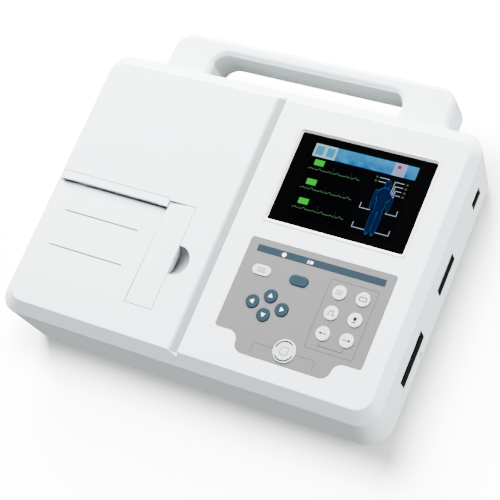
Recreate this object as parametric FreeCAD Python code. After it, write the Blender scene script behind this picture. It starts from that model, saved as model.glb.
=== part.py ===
import FreeCAD, Part
import math
import os

Vector = FreeCAD.Vector

# Portable electrocardiograph with a chart printer. Millimetres, X right, Y back, Z up.
# The origin is on the table under the middle of the outline.

# Case
body_width = 327.2
deck_depth = 214.8
deck_height = 64.0
skirt_height = 6.0
side_bevel = 7.2
front_bevel = 9.2
rear_bevel = 9.0
skirt_wall = 3.6
front_flare = 2.2
side_taper = 4.6
foot_height = 3.0
wall = 2.5
deck_corner = 12.0
case_corner = 16.0
base_corner = 22.0
deck_edge_round = 1.6
base_edge_round = 5.0
lip_depth = 2.5
lip_rise = 1.0
lip_thickness = 1.2
slip = 0.2
press_fit = 0.02
seam_height = 0.5
seam_depth = 0.8
groove_width = 9.3
groove_depth = 2.0
groove_left_of_middle = 3.35

# Carrying handle
handle_reach = 38.9
handle_inset = 38.6
handle_post = 41.0
handle_low = 14.6
handle_high = 46.6
handle_bar = 12.8
handle_corner = 16.0
handle_blend = 14.0
grip_corner = 12.0
handle_round = 4.5
handle_screw_inset = 22.0
handle_screw_heights = (22.0, 39.0)
handle_screw_reach = 11.0

# Screen
panel_from_right = 82.9
panel_margins = (18.05, 13.5, 13.75)
screen_width = 112.0
screen_depth = 74.7
screen_recess = 2.0
glass_thickness = 1.8
glass_border = 1.2
bezel_rim = 3.2
bezel_proud = 0.3
bezel_seat = 1.2
bezel_corner = 4.0
screen_ledge = 1.5
screen_ledge_width = 5.0
screen_module_height = 6.0
screen_view_border = 8.0
screen_tab = 1.2
screen_screw_inset = 6.0
small_boss = 3.0

# Keypad
pad_width = 120.0
pad_depth = 73.9
pad_lobe = 14.5
pad_shoulder = 46.6
pad_lobe_half = 31.5
pad_thickness = 0.8
pad_corner = 2.5
key_proud = 0.6
key_gap = 0.25
key_travel = 0.4
key_flange = 1.1
key_flange_thickness = 1.2
key_stem_length = 3.3
key_top_round = 0.4
key_stem_inset = 1.5
key_board_past = 2.0
pad_screw_inset = 5.0
dome_height = 1.0
dome_radius = 2.6
dome_gap = 1.0
pill_length = 15.2
pill_width = 8.0
pill_drop = 23.95
pill_offsets = (-41.9, -10.7)
arrow_size = 10.6
arrow_centre = (-26.8, -48.5)
arrow_reach = (12.25, 7.55)
round_size = 11.0
round_middle = 32.0
round_pitch = (19.0, 16.25)
start_size = 18.0
start_drop = 77.3

# Paper door
door_right = 129.9
door_front = 23.9
door_step = 106.2
slot_from_rear = 108.55
slot_width = 1.6
platen_past_slot = 1.5
tear_bar_depth = 7.0
tear_bar_height = 3.6
strip_past_slot = 4.6
strip_tilt = 1.6
strip_line = (0.9, 1.2)
door_gap = 0.7
door_front_gap = 0.12
door_dip = 3.0
rib_length = 68.5
rib_width = 1.2
rib_depth = 0.6
rib_places = (23.4, 53.9)
notch_radius = 12.3
notch_depth = 7.7
notch_wall = 1.8
notch_behind_front = 42.9
notch_past_edge = 1.6
hinge_forward = 12.0
hinge_drop = 10.0
hinge_pin_radius = 2.0
hinge_boss = 4.5
neck_radius = 21.0
neck_width = 6.0
cheek_thickness = 2.2
running_fit = 0.05

# Paper bay and printer
paper_width = 80.0
paper_from_left = 55.6
paper_slack = 3.0
bay_wall = 1.8
bay_rear_notch = 6.0
bay_front = 5.9
bay_to_platen = 1.75
bay_floor = 2.0
bay_top_drop = 8.0
bay_rear_drop = 22.0
bay_lug = 28.0
bay_foot = 8.0
bay_round = 22.0
cheek_clear = 0.9
platen_radius = 5.0
platen_core = 2.0
platen_drop = 14.0
bush_radius = 3.2
bush_wall = 2.0
gear_module = 0.8
gear_pressure = 25.0
gear_backlash = 0.16
gear_width = 4.8
gear_clear = 2.0
platen_teeth = 18
idler_teeth = 24
pinion_teeth = 14
motor_angle = 200.0
motor_radius = 12.5
motor_length = 18.0
motor_shaft = 1.0
motor_flange = 1.0
motor_ear = 3.5
motor_ear_reach = 3.0
motor_bearing = 6.0
idler_pin = 1.6
idler_head = 2.6
idler_head_height = 1.3
sheet = 1.5
chassis_foot = 9.0
chassis_behind_platen = 16.0
head_gap = 0.3
head_plate = 1.0
head_sink = 4.0
head_height = 16.0
head_top_drop = 8.0
head_pivot = 1.5
head_side_gap = 0.5
spring_width = 10.0
spring_sheet = 0.5
spring_rise = 6.0
tear_tooth = 1.6
tear_tooth_depth = 0.9
sink_fin = 2.0
sink_fin_pitch = 6.0
sink_fin_depth = 1.5
sink_fin_height = 5.0
sink_fin_count = 13

# Boards, power and sockets
board = 1.6
main_board_top = 23.4
main_board_from_battery = 11.0
main_board_from_wall = 9.0
main_board_from_front = 34.0
main_board_from_rear = 25.0
main_board_posts_inset = (4.0, 21.0, 4.0)
post_radius = 3.2
board_screw = 10.0
main_chips = (
    (0.28, 0.33, 28.0, 2.4),
    (0.34, 0.56, 20.0, 2.0),
    (0.30, 0.78, 16.0, 2.0),
    (0.66, 0.20, 14.0, 1.6),
    (0.68, 0.47, 12.0, 5.0),
    (0.66, 0.70, 22.0, 8.0),
    (0.34, 0.93, 10.0, 9.0),
)
supply_from_left = 21.6
supply_width = 92.0
supply_behind_chassis = 12.0
supply_from_rear = 20.0
supply_rise = 7.0
supply_post_inset = 6.0
supply_blocks = ((55.0, 59.5, 50.0, 3.0, 26.0), (20.0, 45.0, 16.0, 18.0, 18.0))
supply_transformer = ((56.0, 36.0, 32.0, 28.0, 26.0), (56.0, 36.0, 40.0, 16.0, 20.0))
supply_cans = ((22.0, 20.0, 9.0, 30.0), (84.0, 18.0, 6.0, 22.0), (84.0, 33.0, 6.0, 22.0))
network_from_rear = 36.65
network_size = (15.5, 11.4)
network_height = 28.9
network_gap = 0.4
network_recess = 1.0
network_length = 18.0
network_mouth = (11.8, 6.4, 12.0)
network_key = (6.0, 1.4)
serial_from_rear = 100.15
serial_size = (31.0, 12.6)
serial_height = 29.7
patient_from_rear = 168.85
patient_size = (41.5, 14.6)
patient_height = 31.2
socket_recess = 5.0
socket_corner = 1.0
socket_border = 0.6
socket_tray = 1.4
socket_length = 12.0
flange_sheet = 1.0
shell_length = 6.0
shell_sheet = 0.5
shell_lean = 10.0
pin_radius = 0.55
pin_pitch = 2.77
pin_row = 2.84
pin_depth = 4.0
jack_nut = 2.2
jack_nut_bore = 1.3
jack_nut_length = 4.0
jack_nut_inset = 3.0
shell_height = 8.4
serial_shell = 17.0
serial_pin_count = 9
patient_shell = 25.0
patient_pin_count = 15
inlet_from_rear = 51.0
inlet_height = 29.0
inlet_size = (27.4, 19.8)
inlet_flange = 2.4
inlet_border = 2.5
inlet_length = 22.0
inlet_mouth_depth = 17.0
inlet_wall = 1.6
inlet_bevel = 4.0
blade_size = (2.0, 4.0)
blade_front = 5.0
blade_rear = 26.0
blade_places = ((-7.0, -2.0), (7.0, -2.0), (0.0, 2.0))
stud_from_rear = 83.0
stud_radius = 3.0
stud_length = 12.0
stud_cup = 10.0
stud_inset = 0.5
stud_neck = 2.5
stud_nut = 5.8
stud_nut_height = 3.0
stud_tail = 12.0
latch_from_rear = 159.15
latch_height = 13.1
latch_size = (5.0, 3.2)
battery_size = (62.0, 88.0, 22.0)
battery_from_front = 24.0
battery_past_motor = 2.6
battery_slack = 1.0
battery_round = 2.0
battery_wall_share = 0.7
lid_grip = (1.2, 2.6, 12.0, 8.0, 0.6)
lid_grip_count = 6
vent_count = 8
vent_pitch = 9.0
vent_size = (3.0, 30.0)
vent_from_left = 37.6
vent_from_rear = 41.0
speaker_left_of_battery = 18.6
speaker_from_rear = 49.0
speaker_cone = (14.0, 3.0)
speaker_magnet = (8.0, 6.0)
speaker_hole = 1.2
speaker_ring_radii = (0.0, 5.0, 10.0)
speaker_ring_counts = (1, 6, 12)
boss_radius = 4.0
boss_top = 30.0
boss_post = 3.6
boss_pilot = 14.0
front_left_boss = (22.0, 11.0)
front_right_boss = (14.0, 15.0)
rear_left_boss = (17.0, 14.0)
rear_right_boss = (17.0, 14.0)
middle_bosses = (11.0, 9.0)
screw_radius = 1.5
screw_head = 3.0
screw_head_height = 2.0
screw_sink = 8.0
case_screw_head = 2.5
case_screw_bite = 12.0
foot_radius = 7.0
foot_round = 0.8
foot_side_inset = 29.6
foot_front_inset = 30.0
foot_rear_inset = 26.0

# Places worked out from the sizes above
overall_depth = front_flare + front_bevel + deck_depth + rear_bevel + handle_reach
left = -body_width / 2
right = body_width / 2
front = -overall_depth / 2
skirt_front = front + front_flare
deck_front = skirt_front + front_bevel
deck_rear = deck_front + deck_depth
rear = deck_rear + rear_bevel
split = deck_height - skirt_height
under_deck = deck_height - wall
floor = foot_height + wall


def wall_x(z):
    return right - side_taper * (split - z) / (split - foot_height)


handle_half_width = right - handle_inset
grip_half_width = handle_half_width - handle_post
handle_screw_offset = handle_half_width - handle_screw_inset
panel_x = right - panel_from_right
# the room behind the screen, between screen and keypad, and before the keypad
panel_room = deck_depth - screen_depth - 2 * bezel_rim - pad_depth - pad_lobe
panel_share = panel_room / sum(panel_margins)
rear_margin, middle_margin, front_margin = [panel_share * part for part in panel_margins]
screen_y = deck_rear - rear_margin - bezel_rim - screen_depth / 2
glass_top = deck_height - screen_recess
ledge_top = glass_top - glass_thickness
ledge_low = ledge_top - screen_ledge
pad_top = deck_front + front_margin + pad_lobe + pad_depth
key_low = under_deck - slip - key_flange_thickness - key_stem_length
key_board_top = key_low - dome_gap - dome_height

door_edge = left + door_right
step_x = left + door_step
door_front_y = deck_front + door_front
slot_rear = deck_rear - slot_from_rear
panel_rear = slot_rear - slot_width
strip_rear = slot_rear + strip_past_slot
notch_y = door_front_y + notch_behind_front
hinge_y = door_front_y - hinge_forward
hinge_z = deck_height - hinge_drop

platen_height = deck_height - platen_drop
head_high = deck_height - head_top_drop
head_low = head_high - head_height
bay_top = deck_height - bay_top_drop
bay_rear_top = deck_height - bay_rear_drop
paper_x = left + paper_from_left
bay_half = (paper_width + paper_slack) / 2
bay_left = paper_x - bay_half - bay_wall
bay_right = paper_x + bay_half + bay_wall
bay_front_y = door_front_y + bay_front - bay_wall
platen_y = slot_rear - platen_past_slot - platen_radius
bay_rear_y = platen_y - platen_radius - bay_to_platen
cheek_left = bay_left - cheek_clear - cheek_thickness
cheek_right = bay_right + cheek_clear
gear_left = step_x + gear_clear
gear_right = gear_left + gear_width
plate_left = gear_right + gear_clear
plate_right = plate_left + sheet
chassis_y = platen_y + chassis_behind_platen
head_front = platen_y + platen_radius + head_gap
idler_z = platen_height - gear_module * (platen_teeth + idler_teeth) / 2
idler_to_pinion = gear_module * (idler_teeth + pinion_teeth) / 2
pinion_y = platen_y + idler_to_pinion * math.cos(math.radians(motor_angle))
pinion_z = idler_z + idler_to_pinion * math.sin(math.radians(motor_angle))
head_pivot_y = head_front + head_plate + head_sink / 2
head_pivot_z = head_low + 2 * head_pivot

motor_right = plate_right + motor_length
battery_middle = motor_right + battery_past_motor + wall + battery_slack + battery_size[0] / 2
battery_front = front + battery_from_front
main_board_left = battery_middle + battery_size[0] / 2 + main_board_from_battery
main_board_right = wall_x(main_board_top) - wall - main_board_from_wall
main_board_front = skirt_front + main_board_from_front
main_board_rear = rear - main_board_from_rear
supply_left = left + supply_from_left
supply_front = chassis_y + supply_behind_chassis
supply_rear = rear - supply_from_rear
supply_low = floor + supply_rise
speaker_x = battery_middle - speaker_left_of_battery
speaker_y = rear - speaker_from_rear
stud_y = rear - stud_from_rear
stud_x = -wall_x(inlet_height - stud_cup)
inlet_x = -wall_x(inlet_height - inlet_size[1] / 2 - inlet_border)
boss_places = [
    (left + front_left_boss[0], skirt_front + front_left_boss[1]),
    (battery_middle, skirt_front + middle_bosses[0]),
    (right - front_right_boss[0], skirt_front + front_right_boss[1]),
    (left + rear_left_boss[0], rear - rear_left_boss[1]),
    (battery_middle, rear - middle_bosses[1]),
    (right - rear_right_boss[0], rear - rear_right_boss[1]),
]
foot_places = [(x, y) for x in (left + foot_side_inset, right - foot_side_inset)
               for y in (front + foot_front_inset, rear - foot_rear_inset)]

parts = {}


def box(x0, x1, y0, y1, z0, z1):
    return Part.makeBox(x1 - x0, y1 - y0, z1 - z0, Vector(x0, y0, z0))


def rod(radius, start, end):
    along = Vector(*end) - Vector(*start)
    return Part.makeCylinder(radius, along.Length, Vector(*start), along)


def tube(outer, inner, start, end):
    return rod(outer, start, end).cut(rod(inner, start, end))


def rounded_wire(x0, x1, y0, y1, z, radius):
    half = radius * (1 - math.sqrt(0.5))
    corners = [(x1, y1, -1, -1), (x0, y1, 1, -1), (x0, y0, 1, 1), (x1, y0, -1, 1)]
    starts = [(0, 1), (1, 0), (0, 1), (1, 0)]
    edges = []
    points = []
    for (x, y, inward_x, inward_y), (step_along_x, step_along_y) in zip(corners, starts):
        first = Vector(x + step_along_x * inward_x * radius, y + step_along_y * inward_y * radius, z)
        last = Vector(x + step_along_y * inward_x * radius, y + step_along_x * inward_y * radius, z)
        middle = Vector(x + inward_x * half, y + inward_y * half, z)
        points.append((first, middle, last))
    for index, (first, middle, last) in enumerate(points):
        edges.append(Part.Arc(first, middle, last).toShape())
        edges.append(Part.LineSegment(last, points[(index + 1) % 4][0]).toShape())
    return Part.Wire(edges)


def slab(x0, x1, y0, y1, z0, z1, radius):
    return Part.Face(rounded_wire(x0, x1, y0, y1, z0, radius)).extrude(Vector(0, 0, z1 - z0))


def polygon(points):
    return Part.makePolygon([Vector(*point) for point in points + points[:1]])


def side_profile(points, x0, x1):
    return Part.Face(polygon([(x0, y, z) for y, z in points])).extrude(Vector(x1 - x0, 0, 0))


def fillet_where(shape, radius, wanted):
    edges = [edge for edge in shape.Edges if wanted(edge.BoundBox)]
    return shape.makeFillet(radius, edges)


def at_height(z):
    return lambda bounds: abs(bounds.ZMin - z) < 0.01 and abs(bounds.ZMax - z) < 0.01


def group(shapes):
    return Part.makeCompound(shapes)


# Case shells

def cover_rise(z):
    return (z - split) / skirt_height


def cover_wire(z, inset):
    rise = cover_rise(z)
    side = right - side_bevel * rise - inset
    corner = case_corner + (deck_corner - case_corner) * rise - inset
    y0 = skirt_front + front_bevel * rise + inset
    y1 = rear - rear_bevel * rise - inset
    return rounded_wire(-side, side, y0, y1, z, max(corner, 1.0))


def cover_block():
    block = Part.makeLoft([cover_wire(split, 0), cover_wire(deck_height, 0)], True, True)
    return fillet_where(block, deck_edge_round, at_height(deck_height))


def cover_hollow():
    wires = [cover_wire(z, skirt_wall) for z in (split - wall, under_deck)]
    return Part.makeLoft(wires, True, True)


def cover_lip():
    outer = wall + 2 * slip
    low, high = split - lip_depth, split + lip_rise
    outside, inside = [slab(left + inset, right - inset, skirt_front + inset, rear - inset, low, high,
                            case_corner - inset) for inset in (outer, outer + lip_thickness)]
    return outside.cut(inside)


def slanted_region(x0, x1, y0, y1):
    reach = 3 * skirt_height
    return side_profile([(y0 - reach, deck_height + reach), (y0 + reach, deck_height - reach),
                         (y1, deck_height - reach), (y1, deck_height + reach)], x0, x1)


def door_opening():
    y0 = door_front_y - door_front_gap
    panel = slanted_region(left - wall, step_x, y0, slot_rear)
    strip = slanted_region(step_x - door_gap, door_edge + door_gap, y0, strip_rear + door_gap)
    return panel.fuse(strip)


def tear_bar_seat(gap):
    low = deck_height - tear_bar_height - gap
    return box(left - wall, step_x - door_gap + gap, slot_rear - gap, slot_rear + tear_bar_depth + gap,
               low, deck_height + wall)


def tear_bar_ledge():
    low = deck_height - tear_bar_height
    back = slot_rear + tear_bar_depth + slip
    x0, x1 = left + side_bevel + wall, step_x
    shelf = box(x0, x1, slot_rear + wall, back + wall, low - 0.8 * wall, low)
    return shelf.fuse(box(x0, x1, back, back + wall, low - 0.8 * wall, deck_height - 1.0))


def notch_ball(extra):
    above = (notch_radius ** 2 - notch_depth ** 2) / (2 * notch_depth)
    centre = Vector(door_edge + notch_past_edge, notch_y, deck_height + above)
    return Part.makeSphere(notch_depth + above + extra, centre)


def notch_cup():
    reach = notch_radius + 4 * notch_wall
    half = box(door_edge + door_gap, door_edge + reach, notch_y - reach, notch_y + reach,
               deck_height - notch_depth - 2 * notch_wall, deck_height - 1.0)
    return notch_ball(notch_wall).common(half)


def groove_cutter():
    x0, x1 = -groove_left_of_middle - groove_width / 2, -groove_left_of_middle + groove_width / 2
    top = deck_height + 1
    ramp = polygon([(x0, front, deck_height), (x1, front, deck_height - groove_depth),
                    (x1, front, top), (x0, front, top)])
    return Part.Face(ramp).extrude(Vector(0, rear - front, 0))


def groove_rib():
    half = groove_width / 2 + wall
    x = -groove_left_of_middle
    return box(x - half, x + half, deck_front + wall, deck_rear - wall,
               under_deck - groove_depth, under_deck + slip)


def screen_box(grow, z0, z1, corner):
    half_x = screen_width / 2 + grow
    half_y = screen_depth / 2 + grow
    return slab(panel_x - half_x, panel_x + half_x, screen_y - half_y, screen_y + half_y, z0, z1, corner)


def pad_wire(z, grow):
    x0, x1 = panel_x - pad_width / 2 - grow, panel_x + pad_width / 2 + grow
    top, side_low = pad_top + grow, pad_top - pad_depth - grow
    lobe_low = side_low - pad_lobe
    shoulder, lobe = pad_shoulder + grow, pad_lobe_half + grow
    span, fall = shoulder - lobe, side_low - lobe_low
    radius = (span ** 2 + fall ** 2) / (4 * fall)
    half_turn = math.atan(fall / span)
    over, down = radius * math.sin(half_turn), radius * (1 - math.cos(half_turn))
    middle_x, middle_y = (shoulder + lobe) / 2, (side_low + lobe_low) / 2
    half = pad_corner * (1 - math.sqrt(0.5))

    def corner(x, y, inward_x, inward_y, turn):
        first = Vector(x + inward_x * pad_corner * (1 - turn), y + inward_y * pad_corner * turn, z)
        last = Vector(x + inward_x * pad_corner * turn, y + inward_y * pad_corner * (1 - turn), z)
        return first, Vector(x + inward_x * half, y + inward_y * half, z), last

    def shoulder_curve(side):
        upper = Vector(panel_x + side * shoulder, side_low, z)
        bend_1 = Vector(panel_x + side * (shoulder - over), side_low - down, z)
        centre = Vector(panel_x + side * middle_x, middle_y, z)
        bend_2 = Vector(panel_x + side * (lobe + over), lobe_low + down, z)
        return [(upper, bend_1, centre), (centre, bend_2, Vector(panel_x + side * lobe, lobe_low, z))]

    arcs = [corner(x0, top, 1, -1, 1), corner(x1, top, -1, -1, 0), corner(x1, side_low, -1, 1, 1)]
    arcs += shoulder_curve(1)
    arcs += [tuple(reversed(arc)) for arc in reversed(shoulder_curve(-1))]
    arcs.append(corner(x0, side_low, 1, 1, 0))
    edges = []
    for index, (first, middle, last) in enumerate(arcs):
        edges.append(Part.Arc(first, middle, last).toShape())
        following = arcs[(index + 1) % len(arcs)][0]
        if (following - last).Length > 0.01:
            edges.append(Part.LineSegment(last, following).toShape())
    return Part.Wire(edges)


def pad_plate(z0, z1, grow):
    return Part.Face(pad_wire(z0, grow)).extrude(Vector(0, 0, z1 - z0))


# Each key has a name, the place of its middle and its half length, half width

def key_layout():
    keys = {}
    for name, x in zip(("menu", "mode"), pill_offsets):
        keys["key_" + name] = (panel_x + x, pad_top - pill_drop, pill_length / 2, pill_width / 2)
    for name, x, y in (("up", 0, 1), ("left", -1, 0), ("down", 0, -1), ("right", 1, 0)):
        middle_x = panel_x + arrow_centre[0] + x * arrow_reach[0]
        middle_y = pad_top + arrow_centre[1] + y * arrow_reach[1]
        keys["key_" + name] = (middle_x, middle_y, arrow_size / 2, arrow_size / 2)
    for row in range(3):
        for column, side in enumerate(("left", "right")):
            keys["key_row%d_%s" % (row + 1, side)] = (
                panel_x + round_middle + (column - 0.5) * round_pitch[0],
                pad_top - pill_drop - row * round_pitch[1], round_size / 2, round_size / 2)
    keys["key_start"] = (panel_x, pad_top - start_drop, start_size / 2, start_size / 2)
    return keys


def key_block(place, grow, z0, z1):
    x, y, half_length, half_width = place
    if half_length == half_width:
        return rod(half_width + grow, (x, y, z0), (x, y, z1))
    along, across = half_length + grow, half_width + grow
    return slab(x - along, x + along, y - across, y + across, z0, z1, across - 0.01)


def key_cap(place):
    top = deck_height + key_proud
    flange_top = under_deck - slip
    cap = key_block(place, 0, flange_top - key_flange_thickness, top)
    cap = fillet_where(cap, key_top_round, at_height(top))
    flange = key_block(place, key_flange, flange_top - key_flange_thickness, flange_top)
    stem = key_block(place, -key_stem_inset, key_low, flange_top)
    return cap.fuse([flange, stem]).removeSplitter()


def pad_board_corners():
    half = pad_width / 2 - pad_screw_inset
    return [(panel_x + side * half, y) for side in (-1, 1)
            for y in (pad_top - pad_screw_inset, pad_top - pad_depth + pad_screw_inset)]


def screen_corners():
    half_x, half_y = screen_width / 2 + screen_ledge_width, screen_depth / 2 - screen_screw_inset
    return [(panel_x + side_x * half_x, screen_y + side_y * half_y)
            for side_x in (-1, 1) for side_y in (-1, 1)]


def cover_posts():
    return [rod(boss_post, (x, y, boss_top), (x, y, under_deck + slip)) for x, y in boss_places]


def make_top_cover():
    cover = cover_block().cut(cover_hollow())
    well = screen_box(glass_border + screen_ledge_width, ledge_low, under_deck + slip, bezel_corner)
    bosses = [(x, y, key_board_top) for x, y in pad_board_corners()]
    bosses += [(x, y, ledge_low) for x, y in screen_corners()]
    bosses = [rod(small_boss, (x, y, z), (x, y, under_deck + slip)) for x, y, z in bosses]
    cover = cover.fuse([cover_lip(), groove_rib(), notch_cup(), well] + cover_posts() + bosses)
    cuts = [door_opening(), tear_bar_seat(slip), notch_ball(0), groove_cutter()]
    cuts.append(screen_box(-screen_view_border / 2, ledge_low - 1, deck_height, bezel_corner))
    cuts.append(screen_box(glass_border + slip, ledge_top, deck_height + 1, bezel_corner))
    cuts.append(screen_box(bezel_rim + slip, deck_height - bezel_seat, deck_height + 1, bezel_corner))
    cuts.append(pad_plate(deck_height - pad_thickness, deck_height + 1, slip))
    cuts += [key_block(place, key_gap, under_deck - 1, deck_height) for place in key_layout().values()]
    pilot = screw_radius + running_fit
    cuts += [rod(pilot, (x, y, boss_top - 1), (x, y, boss_top + boss_pilot)) for x, y in boss_places]
    cuts += [rod(pilot, (x, y, key_board_top - 1), (x, y, key_board_top + 4))
             for x, y in pad_board_corners()]
    cuts += [rod(pilot, (x, y, ledge_low - 1), (x, y, ledge_low + 2)) for x, y in screen_corners()]
    cover = cover.cut(cuts)
    cover = cover.fuse(tear_bar_ledge())
    return cover.removeSplitter()


def tub(z0, z1, inset):
    wires = []
    for z in (z0, z1):
        drop = (split - z) / (split - foot_height)
        side = wall_x(z) - inset
        corner = case_corner + (base_corner - case_corner) * drop - inset
        near = skirt_front - front_flare * drop + inset
        wires.append(rounded_wire(-side, side, near, rear - inset, z, corner))
    return Part.makeLoft(wires, True, True)


def battery_rect(border):
    half = battery_size[0] / 2 + border
    return (battery_middle - half, battery_middle + half, battery_front - border,
            battery_front + battery_size[1] + border)


def socket_openings():
    openings = []
    inward = FreeCAD.Rotation(Vector(0, -1, 0), Vector(0, 0, 1), Vector(-1, 0, 0))
    for from_rear, size, height in ((network_from_rear, network_size, network_height),
                                    (serial_from_rear, serial_size, serial_height),
                                    (patient_from_rear, patient_size, patient_height),
                                    (latch_from_rear, latch_size, latch_height)):
        half_x, half_y = size[0] / 2, size[1] / 2
        opening = slab(-half_x, half_x, -half_y, half_y, 0, 4 * wall, socket_corner)
        opening.Placement = FreeCAD.Placement(Vector(right + wall, rear - from_rear, height), inward)
        openings.append(opening)
    return openings


def inlet_box(grow, x0, x1):
    y = rear - inlet_from_rear
    return box(x0, x1, y - inlet_size[0] / 2 - grow, y + inlet_size[0] / 2 + grow,
               inlet_height - inlet_size[1] / 2 - grow, inlet_height + inlet_size[1] / 2 + grow)


def main_board_posts():
    near, far, ends = main_board_posts_inset
    return [(x, y) for x in (main_board_left + near, main_board_right - far)
            for y in (main_board_front + ends, main_board_rear - ends)]


def supply_posts():
    inset = supply_post_inset
    return [(x, y) for x in (supply_left + inset, supply_left + supply_width - inset)
            for y in (supply_front + inset, supply_rear - inset)]


def vent_slots():
    half = vent_size[0] / 2
    y1 = rear - vent_from_rear
    slots = []
    for column in range(vent_count):
        x = left + vent_from_left + vent_pitch * column
        slots.append(slab(x - half, x + half, y1 - vent_size[1], y1, foot_height - 1, floor + 1, half - 0.1))
    return slots


def speaker_holes():
    holes = []
    for ring, count in zip(speaker_ring_radii, speaker_ring_counts):
        for step in range(count):
            turn = 2 * math.pi * step / count
            x, y = speaker_x + ring * math.cos(turn), speaker_y + ring * math.sin(turn)
            holes.append(rod(speaker_hole, (x, y, foot_height - 1), (x, y, floor + 1)))
    return holes


def seam_relief():
    low = split - seam_height
    return tub(low, split + 1, -1.0).cut(tub(low, split + 1, seam_depth))


def stud_cup_block():
    top = inlet_height + stud_cup + wall
    start = wall - slip - wall_x(top)
    end = stud_x + stud_length + 2 * wall
    return rod(stud_cup + wall, (start, stud_y, inlet_height), (end, stud_y, inlet_height))


def make_bottom_case():
    case = tub(foot_height, split, 0)
    case = fillet_where(case, base_edge_round, at_height(foot_height))
    case = case.cut(tub(floor, split + 1, wall))
    rises = [(boss_radius, x, y, boss_top - slip) for x, y in boss_places]
    rises += [(post_radius, x, y, main_board_top - board) for x, y in main_board_posts()]
    rises += [(post_radius, x, y, supply_low) for x, y in supply_posts()]
    posts = [rod(radius, (x, y, floor - slip), (x, y, top)) for radius, x, y, top in rises]
    seat_top = inlet_height + inlet_size[1] / 2 + inlet_border + wall
    inlet_seat = inlet_box(inlet_border + wall, wall - slip - wall_x(seat_top), inlet_x + 2 * wall)
    case = case.fuse([stud_cup_block(), inlet_seat] + posts)
    cuts = socket_openings() + vent_slots() + speaker_holes() + [seam_relief()]
    x0, x1, y0, y1 = battery_rect(battery_slack)
    cuts.append(box(x0, x1, y0, y1, floor - wall - 1, floor + 1))
    cuts.append(inlet_box(slip, left - 1, inlet_x + 2 * wall + 1))
    cuts.append(inlet_box(inlet_border + slip, left - 1, inlet_x + inlet_flange))
    stud_floor = stud_x + stud_length
    cuts.append(rod(stud_cup, (left - 1, stud_y, inlet_height), (stud_floor, stud_y, inlet_height)))
    cuts.append(rod(stud_neck + running_fit, (stud_x, stud_y, inlet_height),
                    (stud_floor + 3 * wall, stud_y, inlet_height)))
    for x, y in boss_places:
        cuts.append(rod(screw_radius + slip, (x, y, foot_height - 1), (x, y, boss_top + 1)))
        cuts.append(rod(screw_head + slip, (x, y, foot_height - 1), (x, y, foot_height + screw_sink)))
    for x, y in main_board_posts() + supply_posts():
        cuts.append(rod(screw_radius + running_fit, (x, y, floor + 1), (x, y, main_board_top + 1)))
    for x, z in handle_screw_places():
        cuts.append(rod(screw_radius + slip, (x, rear - 2 * wall, z), (x, rear + 1, z)))
    return case.cut(cuts).removeSplitter()


def handle_screw_places():
    return [(x, z) for x in (-handle_screw_offset, handle_screw_offset) for z in handle_screw_heights]


def make_handle():
    back = rear + handle_reach
    base = handle_half_width + handle_blend
    corner, blend = handle_corner, handle_blend
    half = math.sqrt(0.5)

    def arc(a, b, c):
        return Part.Arc(Vector(*a, handle_low), Vector(*b, handle_low), Vector(*c, handle_low)).toShape()

    def line(a, b):
        return Part.LineSegment(Vector(*a, handle_low), Vector(*b, handle_low)).toShape()

    edges = [line((-base, rear), (base, rear))]
    for side in (1, -1):
        wall_point = (side * base, rear)
        blend_middle = (side * (base - blend * half), rear + blend * (1 - half))
        blend_end = (side * handle_half_width, rear + blend)
        corner_start = (side * handle_half_width, back - corner)
        corner_middle = (side * (handle_half_width - corner * (1 - half)), back - corner * (1 - half))
        corner_end = (side * (handle_half_width - corner), back)
        edges += [arc(wall_point, blend_middle, blend_end), line(blend_end, corner_start),
                  arc(corner_start, corner_middle, corner_end)]
    edges.append(line((handle_half_width - corner, back), (-handle_half_width + corner, back)))
    outline = Part.Wire(Part.__sortEdges__(edges))
    handle = Part.Face(outline).extrude(Vector(0, 0, handle_high - handle_low))
    grip = slab(-grip_half_width, grip_half_width, rear - grip_corner, back - handle_bar,
                handle_low - 1, handle_high + 1, grip_corner)
    handle = handle.cut(grip)

    def outer_edge(bounds):
        level = at_height(handle_low)(bounds) or at_height(handle_high)(bounds)
        return level and bounds.YMax > rear + 0.01

    handle = fillet_where(handle, handle_round, outer_edge)
    depth = handle_screw_reach + 2
    holes = [rod(screw_radius + running_fit, (x, rear - 1, z), (x, rear + depth, z))
             for x, z in handle_screw_places()]
    return handle.cut(holes)


# Paper door: a lid that wraps over the left edge, carried on two swan-neck arms

def door_underside(y):
    fall = door_dip * (y - door_front_y) / (panel_rear - door_front_y)
    return under_deck - fall


def door_dip_cutter():
    y0, y1 = door_front_y, slot_rear
    return side_profile([(y0, deck_height), (y1, door_underside(y1) + wall), (y1, deck_height + wall),
                         (y0, deck_height + wall)], left - wall, step_x)


def strip_tilt_cutter():
    y0, y1 = door_front_y, strip_rear
    x0, x1 = step_x, door_edge - gear_clear
    low = Vector(x0, y1 + 1, deck_height - strip_tilt)
    corners = [low, Vector(x1, y1 + 1, deck_height), Vector(x0, y0, deck_height)]
    tops = [Vector(corner.x, corner.y, deck_height + wall) for corner in corners]
    loops = [corners, tops]
    for first, last in ((0, 1), (1, 2), (2, 0)):
        loops.append([corners[first], corners[last], tops[last], tops[first]])
    faces = [Part.Face(Part.makePolygon(loop + loop[:1])) for loop in loops]
    return Part.Solid(Part.Shell(faces))


def strip_line_cutter():
    width, depth = strip_line
    y0, y1 = door_front_y + width, slot_rear
    low0, low1 = door_underside(y0) + wall - depth, door_underside(y1) + wall - depth
    top = deck_height + wall
    side = side_profile([(y0, low0), (y1, low1), (y1, top), (y0, top)], step_x - width, step_x)
    return side.fuse(box(step_x - width, door_edge + 1, door_front_y, y0, deck_height - depth, top))


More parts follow.
